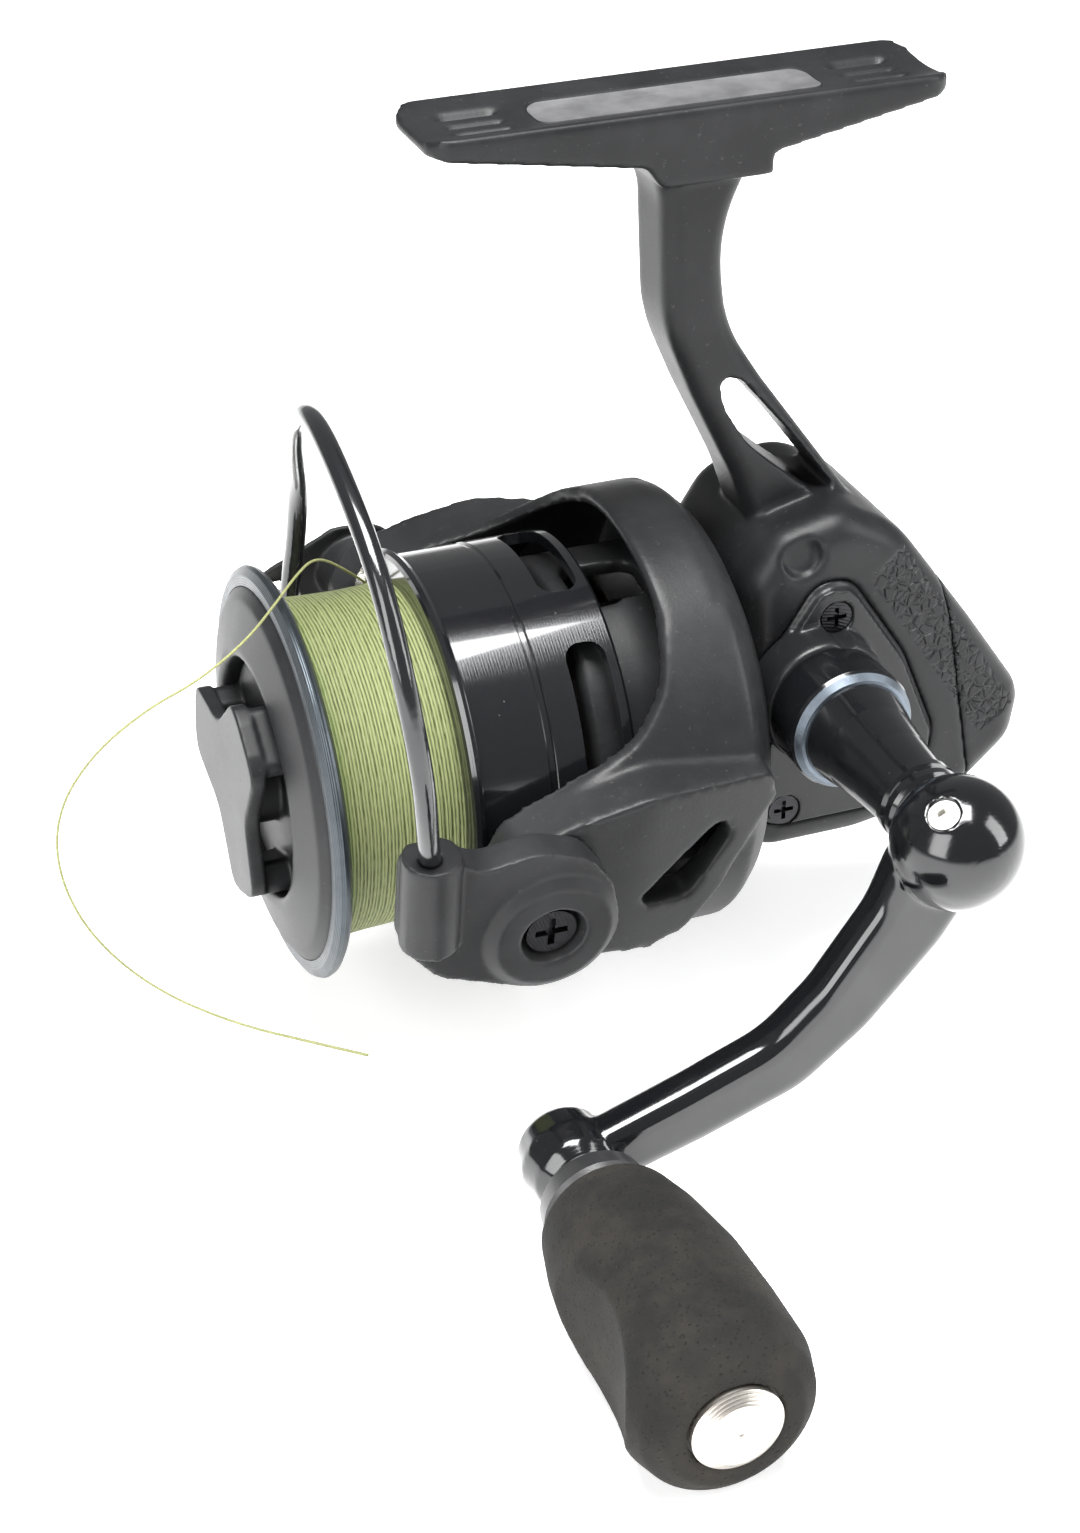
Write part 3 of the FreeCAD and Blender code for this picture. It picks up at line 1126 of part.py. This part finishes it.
for name, make in NODES.items():
    shape = make()
    shape.exportStep(os.path.join("parts", name + ".step"))
    print(name, len(shape.Solids), round(shape.Volume, 1), shape.isValid())
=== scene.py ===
import json
import math

import bpy
from mathutils import Matrix, Vector


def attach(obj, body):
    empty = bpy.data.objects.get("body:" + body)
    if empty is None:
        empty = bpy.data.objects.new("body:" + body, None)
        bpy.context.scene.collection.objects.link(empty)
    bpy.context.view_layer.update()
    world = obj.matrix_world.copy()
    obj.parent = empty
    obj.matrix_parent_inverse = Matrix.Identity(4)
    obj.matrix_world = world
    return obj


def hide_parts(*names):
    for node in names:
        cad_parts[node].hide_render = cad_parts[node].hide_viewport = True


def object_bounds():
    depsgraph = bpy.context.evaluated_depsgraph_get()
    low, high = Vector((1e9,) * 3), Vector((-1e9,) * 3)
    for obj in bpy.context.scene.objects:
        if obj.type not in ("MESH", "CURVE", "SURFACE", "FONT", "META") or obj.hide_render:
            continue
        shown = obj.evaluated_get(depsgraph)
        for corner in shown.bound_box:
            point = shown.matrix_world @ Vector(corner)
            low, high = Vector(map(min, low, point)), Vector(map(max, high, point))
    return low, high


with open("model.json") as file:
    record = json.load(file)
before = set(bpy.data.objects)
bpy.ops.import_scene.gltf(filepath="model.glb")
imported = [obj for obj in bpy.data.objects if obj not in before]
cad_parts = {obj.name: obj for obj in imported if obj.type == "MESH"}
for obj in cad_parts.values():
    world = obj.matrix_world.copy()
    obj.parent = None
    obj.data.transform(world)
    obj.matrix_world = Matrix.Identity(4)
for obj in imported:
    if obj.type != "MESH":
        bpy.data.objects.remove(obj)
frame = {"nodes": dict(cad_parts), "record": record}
cad_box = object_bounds()
NODES = frame["nodes"]
MM = 0.001
SHAFT_Z = -73.5 * MM
SHAFT_LINE = (0.0, 0.0, SHAFT_Z)
GEAR_LINE = (12.7 * MM, 0.0, -67.9 * MM)
KNOB_LINE = (-30.6 * MM, 0.0, -100.2 * MM)


# ---- finishes -------------------------------------------------------------------------------
class Value:
    """A socket that can be added, taken away and multiplied."""

    def __init__(self, finish, socket):
        self.finish = finish
        self.socket = socket

    def __add__(self, other):
        return self.finish.maths("ADD", self, other)

    __radd__ = __add__

    def __sub__(self, other):
        return self.finish.maths("SUBTRACT", self, other)

    def __rsub__(self, other):
        return self.finish.maths("SUBTRACT", other, self)

    def __mul__(self, other):
        return self.finish.maths("MULTIPLY", self, other)

    __rmul__ = __mul__


class Finish:
    """One material, built a node at a time."""

    def __init__(self, name, **surface):
        self.material = bpy.data.materials.new(name)
        self.material.use_nodes = True
        self.tree = self.material.node_tree
        self.shader = self.tree.nodes["Principled BSDF"]
        for label, value in surface.items():
            self.surface(label.replace("_", " "), value)
        self.place = self.node("TexCoord", out="Object")

    def node(self, kind, settings=None, sockets=None, out=0):
        made = self.tree.nodes.new("ShaderNode" + kind)
        for label, value in (settings or {}).items():
            setattr(made, label, value)
        for label, value in (sockets or {}).items():
            self.join(made.inputs[label], value)
        return Value(self, made.outputs[out])

    def join(self, socket, value):
        if isinstance(value, Value):
            self.tree.links.new(value.socket, socket)
        elif socket.type == "RGBA" and len(value) == 3:
            socket.default_value = (*value, 1.0)
        else:
            socket.default_value = value

    def surface(self, label, value):
        self.join(self.shader.inputs[label], value)

    def maths(self, operation, *values):
        return self.node("Math", {"operation": operation}, dict(enumerate(values)))

    def axis(self, name):
        return self.node("SeparateXYZ", None, {0: self.place}, out=name)

    def noise(self, scale, detail=3.0, rough=0.55, where=None):
        return self.node("TexNoise", None, {"Vector": where or self.place, "Scale": scale, "Detail": detail,
                                            "Roughness": rough})

    def cells(self, scale, feature="DISTANCE_TO_EDGE", where=None):
        return self.node("TexVoronoi", {"feature": feature},
                         {"Vector": where or self.place, "Scale": scale}, out="Distance")

    def step(self, value, low, high):
        return self.node("MapRange", {"interpolation_type": "SMOOTHSTEP"},
                         {0: value, 1: low, 2: high, 3: 0.0, 4: 1.0})

    def band(self, value, low, high, soft):
        return self.step(value, low - soft, low + soft) * (1.0 - self.step(value, high - soft, high + soft))

    def mix(self, mask, first, second):
        return self.node("Mix", {"data_type": "RGBA"}, {0: mask, 6: first, 7: second}, out=2)

    def bump(self, height, depth, strength=1.0):
        return self.node("Bump", None, {"Height": height, "Distance": depth, "Strength": strength})

    def stretched(self, x, y, z):
        return self.node("Mapping", None, {"Vector": self.place, "Scale": (x, y, z)})

    def torn(self, amount, scale):
        """Object coordinates pushed about by a noise, so that a cell pattern looks torn."""
        wobble = self.node("TexNoise", None, {"Vector": self.place, "Scale": scale, "Detail": 2.0},
                           out="Color")
        centred = self.node("VectorMath", {"operation": "SUBTRACT"}, {0: wobble, 1: (0.5, 0.5, 0.5)})
        scaled = self.node("VectorMath", {"operation": "SCALE"}, {0: centred, "Scale": amount})
        return self.node("VectorMath", {"operation": "ADD"}, {0: self.place, 1: scaled})

    def radius(self, centre, along):
        """Distance from a line through centre, and the angle round it."""
        moved = self.node("VectorMath", {"operation": "SUBTRACT"}, {0: self.place, 1: centre})
        parts = [self.node("SeparateXYZ", None, {0: moved}, out=name) for name in "XYZ" if name != along]
        far = self.maths("SQRT", parts[0] * parts[0] + parts[1] * parts[1])
        return far, self.maths("ARCTAN2", parts[0], parts[1])


def cast_paint(name, colour, rough=0.42, grain=1.0, coat=0.0):
    """Fine matte paint on a casting: a slight orange peel, dust and lighter rubbed patches."""
    paint = Finish(name, Coat_Roughness=0.25, Specular_IOR_Level=0.22)
    peel = paint.noise(2600.0, 2.0)
    cloud = paint.noise(90.0, 4.0, 0.6)
    dust = paint.step(paint.noise(1500.0, 2.0, 0.7), 0.66, 0.74)
    light = tuple(min(1.0, c * 1.35 + 0.002) for c in colour)
    tone = paint.mix(paint.step(cloud, 0.35, 0.7), colour, light)
    paint.surface("Base Color", paint.mix(dust * 0.22, tone, (0.09, 0.088, 0.082)))
    paint.surface("Roughness", rough + 0.14 * (cloud - 0.5) + 0.1 * dust + 0.06 * (peel - 0.5))
    paint.surface("Normal", paint.bump(peel + 0.4 * dust, 0.00003 * grain, 0.5))
    if coat:
        paint.surface("Coat Weight", coat)
    return paint


PANEL_X = 0.0248
PANEL_Z = -0.0661
PANEL_COS = 0.832          # slope of the panel's long side
PANEL_SIN = 0.555
PANEL_FACE_Y = -0.0110     # the panel is only on the handle's side of this


def body_paint(name):
    """Matte paint with the crackled panel pressed into the side, behind the side cover."""
    paint = cast_paint(name, (0.0085, 0.0088, 0.0095), 0.4)
    x, y, z = (paint.axis(n) for n in "XYZ")
    across = (x - PANEL_X) * PANEL_COS + (z - PANEL_Z) * PANEL_SIN
    along = (x - PANEL_X) * PANEL_SIN - (z - PANEL_Z) * PANEL_COS
    panel = (paint.band(across, 0.0018, 0.0072, 0.0003) * paint.band(along, -0.0115, 0.0165, 0.0006)
             * (1.0 - paint.step(y, PANEL_FACE_Y - 0.0002, PANEL_FACE_Y + 0.0002)))
    crackle = paint.step(paint.cells(720.0, where=paint.torn(0.0011, 500.0)), 0.03, 0.2)
    peel = paint.noise(2600.0, 2.0)
    height = peel * 0.04 + panel * (crackle - 1.2) * 0.9
    paint.surface("Normal", paint.bump(height, 0.00035, 0.9))
    return paint


def gloss_black(name, colour, rough, along):
    """Anodised gloss black with the faint rings that turning leaves."""
    gloss = Finish(name, Coat_Roughness=0.06)
    x = gloss.axis(along)
    rings = gloss.maths("SINE", x * 42000.0) * 0.5 + gloss.maths("SINE", x * 17300.0) * 0.5
    smudge = gloss.noise(140.0, 4.0, 0.6)
    specks = gloss.step(gloss.noise(2300.0, 1.0), 0.78, 0.84)
    gloss.surface("Base Color", gloss.mix(specks * 0.35, colour, (0.12, 0.115, 0.1)))
    gloss.surface("Roughness", rough + 0.1 * smudge + 0.02 * rings + 0.2 * specks)
    gloss.surface("Metallic", 0.25 + 0.05 * smudge)
    gloss.surface("Coat Weight", 0.75 - 0.3 * smudge)
    gloss.surface("Normal", gloss.bump(rings * 0.4 + specks, 0.000012, 0.5))
    return gloss


def turned_metal(name, colour, rough, along, centre, pitch=0.00025, metal=1.0):
    """Bright metal with fine turned rings round a line."""
    metal_ = Finish(name)
    far, angle = metal_.radius(centre, along)
    groove = metal_.maths("SINE", (far + metal_.axis(along)) * (2 * math.pi / pitch))
    wear = metal_.noise(500.0, 4.0, 0.6)
    # painted reflection: the colour is made lighter and darker in two lobes round the axis, standing in for
    # the sheen of turned metal; the wear noise darkens it at random as well
    painted_sheen_lobes = metal_.maths("SINE", angle * 2.0 + 1.0)
    darker = tuple(c * 0.72 for c in colour)
    metal_.surface("Base Color", metal_.mix(metal_.step(wear, 0.35, 0.7) * 0.7 + 0.15 * painted_sheen_lobes, colour, darker))
    metal_.surface("Roughness", rough + 0.12 * wear + 0.04 * groove)
    metal_.surface("Metallic", metal - 0.06 * wear)
    metal_.surface("Normal", metal_.bump(groove + wear * 0.6, 0.00002, 0.55))
    return metal_


def moulded(name, colour, rough=0.5):
    """Moulded plastic with a fine spark-eroded grain."""
    plastic = Finish(name)
    grain = plastic.noise(4200.0, 3.0, 0.6)
    cloud = plastic.noise(160.0, 3.0)
    light = tuple(min(1.0, c * 1.35 + 0.003) for c in colour)
    plastic.surface("Base Color", plastic.mix(plastic.step(cloud, 0.3, 0.75), colour, light))
    plastic.surface("Roughness", rough + 0.12 * (cloud - 0.5) + 0.1 * (grain - 0.5))
    plastic.surface("Normal", plastic.bump(grain, 0.00003, 0.5))
    return plastic


def wound_finish():
    """Layers of thin braid laid side by side, crossing at a slight angle."""
    line = Finish("wound_braid", Specular_IOR_Level=0.25)
    angle = line.radius(SHAFT_LINE, "X")[1]
    x = line.axis("X")
    drift = line.noise(260.0, 3.0, 0.6)
    coarse = line.noise(70.0, 2.0)
    lay = x + drift * 0.00022 + angle * 0.00006
    turn = line.maths("SINE", lay * (2 * math.pi / 0.00042))
    cross = line.maths("SINE", (x - angle * 0.00035 + coarse * 0.0006) * (2 * math.pi / 0.00093))
    fibre = line.noise(1.0, 2.0, 0.5, where=line.stretched(9000.0, 900.0, 900.0))
    # painted shade: the line is dark green down in the grooves between turns and light green on the crowns of
    # the turns
    groove = line.step(turn + 0.35 * cross, -1.1, 0.35)
    tone = line.mix(groove, (0.050, 0.064, 0.018), (0.205, 0.232, 0.098))
    tone = line.mix(line.step(fibre, 0.35, 0.7) * 0.45, tone, (0.275, 0.30, 0.150))
    # painted shade: the band of line beside the front rim is painted a darker green, the shade in the corner
    # where the line meets the rim
    painted_rim_shade = 1.0 - line.step(x + drift * 0.0014, -0.0462, -0.0436)
    tone = line.mix(painted_rim_shade * 0.75, tone, (0.085, 0.145, 0.028))
    line.surface("Base Color", tone)
    line.surface("Roughness", 0.62 + 0.15 * (fibre - 0.5))
    line.surface("Normal", line.bump(groove * 0.8 + 0.3 * cross + 0.35 * fibre, 0.00016, 0.9))
    return line


def loose_line_finish():
    line = Finish("loose_braid", Specular_IOR_Level=0.25)
    ply = line.noise(1.0, 2.0, 0.5, where=line.stretched(5200.0, 5200.0, 5200.0))
    line.surface("Base Color", line.mix(line.step(ply, 0.3, 0.7), (0.17, 0.18, 0.07), (0.28, 0.285, 0.13)))
    line.surface("Roughness", 0.55 + 0.15 * ply)
    line.surface("Normal", line.bump(ply, 0.00003, 0.7))
    return line


def foam_finish():
    """Closed-cell foam: fine pores with painted shade in them, brownish handling marks and dust in the cells.
    """
    foam = Finish("grip_foam", Specular_IOR_Level=0.2)
    pores = foam.step(foam.cells(1500.0, "F1", where=foam.torn(0.0005, 900.0)), 0.02, 0.32)
    fine = foam.noise(3800.0, 4.0, 0.7)
    blotch = foam.noise(120.0, 5.0, 0.65)
    smear = foam.noise(38.0, 3.0, 0.5)
    tone = foam.mix(foam.step(blotch, 0.42, 0.66), (0.0105, 0.0102, 0.0099), (0.020, 0.0180, 0.0152))
    tone = foam.mix(foam.step(smear, 0.5, 0.7) * 0.35, tone, (0.040, 0.035, 0.028))
    # painted shade: the pores are painted darker, standing in for the shade inside the little cells
    tone = foam.mix((1.0 - pores) * 0.6, tone, (0.007, 0.0065, 0.006))
    foam.surface("Base Color", foam.mix(foam.step(fine, 0.62, 0.74) * 0.35, tone, (0.085, 0.075, 0.058)))
    foam.surface("Roughness", 0.86 + 0.1 * (blotch - 0.5))
    foam.surface("Normal", foam.bump(pores + 0.5 * fine, 0.00016, 0.8))
    return foam


def felt_finish():
    felt = Finish("drag_felt", Sheen_Weight=0.5)
    hair = felt.noise(2600.0, 5.0, 0.75)
    felt.surface("Base Color", felt.mix(hair, (0.22, 0.2, 0.17), (0.42, 0.4, 0.35)))
    felt.surface("Roughness", 0.85 + 0.1 * hair)
    felt.surface("Normal", felt.bump(hair, 0.00012, 0.9))
    return felt


def plate_finish():
    """Brushed plate let into the foot, brushed along the rod."""
    plate = Finish("foot_plate_brushed")
    brush = plate.noise(1.0, 4.0, 0.7, where=plate.stretched(120.0, 6500.0, 6500.0))
    mark = plate.noise(220.0, 4.0)
    rubbed = plate.step(mark, 0.3, 0.75)
    plate.surface("Base Color", plate.mix(rubbed, (0.50, 0.50, 0.51), (0.30, 0.30, 0.31)))
    plate.surface("Roughness", 0.30 + 0.2 * brush)
    plate.surface("Metallic", 0.96 - 0.06 * mark)
    plate.surface("Normal", plate.bump(brush, 0.00002, 0.6))
    return plate


def floor_finish():
    paper = Finish("backdrop_paper")
    fibre = paper.noise(60.0, 4.0)
    paper.surface("Base Color", paper.mix(fibre, (0.93, 0.93, 0.93), (0.97, 0.97, 0.97)))
    paper.surface("Roughness", 0.9 + 0.05 * fibre)
    paper.surface("Emission Color", (1.0, 1.0, 1.0))
    paper.surface("Emission Strength", 0.45)
    return paper


finish_of_slot = {
    "body_black": body_paint("body_cast_black"),
    "cover_black": cast_paint("side_cover_black", (0.0085, 0.0088, 0.0095), 0.34, 0.8, 0.15),
    "rear_cover_black": body_paint("rear_cover_cast_black"),
    "rotor_black": cast_paint("rotor_cast_black", (0.0130, 0.0133, 0.0140), 0.40),
    "bail_satin": cast_paint("bail_arm_black", (0.0130, 0.0132, 0.0140), 0.42, 0.7),
    "wire_dark": gloss_black("bail_wire_black", (0.010, 0.0105, 0.012), 0.12, "X"),
    "roller_metal": turned_metal("line_roller_steel", (0.72, 0.69, 0.62), 0.12, "Y", GEAR_LINE),
    "foot_plate_metal": plate_finish(),
    "screw_dark": turned_metal("blackened_screw", (0.035, 0.035, 0.038), 0.3, "Y", GEAR_LINE, 0.0004),
    "silver_screw": turned_metal("bright_screw", (0.78, 0.76, 0.72), 0.2, "Y", GEAR_LINE, 0.0003),
    "bearing_steel": turned_metal("ground_steel", (0.62, 0.62, 0.64), 0.2, "Y", GEAR_LINE, 0.0004),
    "bush_plastic": moulded("natural_bush", (0.62, 0.60, 0.53), 0.45),
    "inner_plastic": moulded("inner_black", (0.026, 0.026, 0.028), 0.45),
    "gear_zinc": turned_metal("cast_zinc", (0.50, 0.50, 0.53), 0.35, "Y", GEAR_LINE, 0.0005),
    "pinion_brass": turned_metal("cut_brass", (0.72, 0.52, 0.24), 0.26, "X", SHAFT_LINE, 0.0003),
    "handle_gloss": gloss_black("handle_gloss_black", (0.0060, 0.0064, 0.0075), 0.07, "Y"),
    "chamfer_blue": turned_metal("bright_chamfer", (0.17, 0.20, 0.235), 0.26, "Y", GEAR_LINE, 0.0002),
    "knob_collar_black": moulded("knob_collar", (0.016, 0.016, 0.017), 0.35),
    "foam_black": foam_finish(),
    "cap_silver": turned_metal("cap_turned", (0.62, 0.58, 0.53), 0.26, "Y", KNOB_LINE, 0.00055),
    "spool_gloss": gloss_black("skirt_gloss_black", (0.0085, 0.009, 0.0105), 0.10, "X"),
    "spool_rim_blue": turned_metal("rim_blue_grey", (0.050, 0.060, 0.068), 0.28, "X", SHAFT_LINE, 0.0003,
                                   0.8),
    "spool_cone_matte": cast_paint("cone_black", (0.0105, 0.0107, 0.0115), 0.42, 0.6),
    "line_green": wound_finish(),
    "clip_plastic": moulded("line_clip_black", (0.016, 0.016, 0.016), 0.4),
    "drag_felt": felt_finish(),
    "drag_knob_black": cast_paint("drag_knob_black", (0.0100, 0.0103, 0.0110), 0.40, 0.6),
}
slot_of_node = {part["node"]: part["material_slot"] for part in frame["record"]["subparts"]}
bodies = frame["record"]["behaviour"]["bodies"]
body_of_node = {name: body for body, names in bodies.items() for name in names}
for name, thing in NODES.items():
    finish = finish_of_slot[slot_of_node[name]].material
    if not thing.material_slots:
        thing.data.materials.append(finish)
    for slot in thing.material_slots:
        slot.material = finish


# ---- pieces that soften the castings ----------------------------------------------------------
def only(thing):
    bpy.ops.object.select_all(action="DESELECT")
    thing.select_set(True)
    bpy.context.view_layer.objects.active = thing


def apply_all(thing):
    only(thing)
    for modifier in list(thing.modifiers):
        bpy.ops.object.modifier_apply(modifier=modifier.name)


WELD = 0.000001
RELAX = 0.5


def softened(name, node, grain, rounds):
    """A casting with its edges rounded over: the node's shape, remade in an even skin and relaxed."""
    source = NODES[node]
    piece = bpy.data.objects.new(name, source.data.copy())
    bpy.context.scene.collection.objects.link(piece)
    only(piece)
    bpy.ops.object.mode_set(mode="EDIT")
    bpy.ops.mesh.select_all(action="SELECT")
    bpy.ops.mesh.remove_doubles(threshold=WELD)
    bpy.ops.object.mode_set(mode="OBJECT")
    skin = piece.modifiers.new("skin", "REMESH")
    skin.mode = "VOXEL"
    skin.voxel_size = grain
    relax = piece.modifiers.new("relax", "SMOOTH")
    relax.factor = RELAX
    relax.iterations = rounds
    apply_all(piece)
    bpy.ops.object.shade_smooth()
    piece.data.materials.clear()
    piece.data.materials.append(finish_of_slot[slot_of_node[node]].material)
    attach(piece, body_of_node[node])
    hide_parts(node)
    return piece


softened("cast_body", "body_stem_and_foot", 0.00045, 4)
softened("cast_side_cover", "side_cover", 0.00030, 3)
softened("cast_rear_cover", "rear_cover", 0.00035, 3)
softened("cast_rotor", "rotor", 0.00045, 6)
softened("sculpted_bail_arm", "bail_arm_near", 0.00022, 9)
softened("sculpted_roller_arm", "bail_arm_far", 0.00022, 5)
softened("polished_handle_arm", "handle_arm", 0.00028, 8)
softened("relaxed_foam", "foam_grip", 0.00035, 10)
softened("moulded_drag_knob", "drag_knob", 0.00022, 6)
softened("turned_cone", "spool_cone", 0.00030, 3)


# ---- the loose end of the line ------------------------------------------------------------------
LINE_D = 0.0003
LINE_ROUTE = [
    (-0.0336, 0.0100, -0.0567), (-0.0375, 0.0070, -0.0523), (-0.0415, 0.0032, -0.0486),
    (-0.0450, -0.0012, -0.0481), (-0.0488, -0.0056, -0.0489), (-0.0534, -0.0098, -0.0504),
    (-0.0596, -0.0128, -0.0524), (-0.0654, -0.0118, -0.0553), (-0.0714, -0.0106, -0.0603),
    (-0.0755, -0.0099, -0.0668), (-0.0763, -0.0106, -0.0740), (-0.0737, -0.0119, -0.0821),
    (-0.0675, -0.0136, -0.0897), (-0.0597, -0.0184, -0.0933), (-0.0516, -0.0229, -0.0951),
    (-0.0465, -0.0257, -0.0962)]


def loose_line():
    curve = bpy.data.curves.new("loose_line", "CURVE")
    curve.dimensions = "3D"
    curve.resolution_u = 8
    curve.bevel_depth = LINE_D / 2
    curve.bevel_resolution = 3
    curve.use_fill_caps = True
    spline = curve.splines.new("NURBS")
    spline.points.add(len(LINE_ROUTE) - 1)
    for point, place in zip(spline.points, LINE_ROUTE):
        point.co = (*place, 1.0)
    spline.order_u = 3
    spline.use_endpoint_u = True
    thing = bpy.data.objects.new("loose_line", curve)
    bpy.context.scene.collection.objects.link(thing)
    curve.materials.append(loose_line_finish().material)
    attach(thing, "spool")
    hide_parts("line_tail")


loose_line()


# ---- studio -------------------------------------------------------------------------------------
FLOOR_GAP = 0.0005
MIDDLE = (-0.015, -0.02, -0.06)


def studio():
    scene = bpy.context.scene
    scene.view_settings.view_transform = "Standard"
    scene.view_settings.exposure = 0.0
    world = bpy.data.worlds.new("studio")
    scene.world = world
    world.use_nodes = True
    world.node_tree.nodes["Background"].inputs["Color"].default_value = (1.0, 1.0, 1.0, 1.0)
    world.node_tree.nodes["Background"].inputs["Strength"].default_value = 0.27

    bpy.ops.object.select_all(action="DESELECT")
    bpy.ops.mesh.primitive_plane_add(size=6.0, location=(0.0, 0.0, cad_box[0][2] - FLOOR_GAP))
    floor = bpy.context.active_object
    floor.name = "backdrop"
    floor.data.materials.append(floor_finish().material)

    def softbox(name, place, target, size, power):
        lamp = bpy.data.lights.new(name, "AREA")
        lamp.shape = "RECTANGLE"
        lamp.size, lamp.size_y = size
        lamp.energy = power
        thing = bpy.data.objects.new(name, lamp)
        thing.location = place
        aim = Vector(target) - Vector(place)
        thing.rotation_euler = aim.to_track_quat("-Z", "Y").to_euler()
        scene.collection.objects.link(thing)

    softbox("top_softbox", (-0.05, -0.10, 0.55), MIDDLE, (0.42, 0.30), 11.0)
    softbox("left_softbox", (-0.55, -0.35, 0.20), MIDDLE, (0.35, 0.5), 4.0)
    softbox("right_softbox", (0.50, -0.40, 0.25), MIDDLE, (0.25, 0.5), 3.0)


CAMERA_PLACE = (-0.1260, -0.2924, 0.10727)
CAMERA_TURN = (-20.6, 30.9, -0.51)     # azimuth, elevation and roll, in degrees


def camera():
    lens = bpy.data.cameras.new("camera")
    lens.sensor_width = 36.0
    lens.lens = 72.2
    lens.clip_start = 0.01
    thing = bpy.data.objects.new("camera", lens)
    bpy.context.scene.collection.objects.link(thing)
    azimuth, elevation, roll = (math.radians(a) for a in CAMERA_TURN)
    ahead = Vector((-math.sin(azimuth) * math.cos(elevation), math.cos(azimuth) * math.cos(elevation),
                    -math.sin(elevation)))
    right = ahead.cross(Vector((0.0, 0.0, 1.0))).normalized()
    up = right.cross(ahead)
    turned = right * math.cos(roll) + up * math.sin(roll)
    raised = up * math.cos(roll) - right * math.sin(roll)
    turn = Matrix((turned, raised, -ahead)).transposed().to_4x4()
    thing.matrix_world = Matrix.Translation(CAMERA_PLACE) @ turn
    bpy.context.scene.camera = thing


studio()
camera()
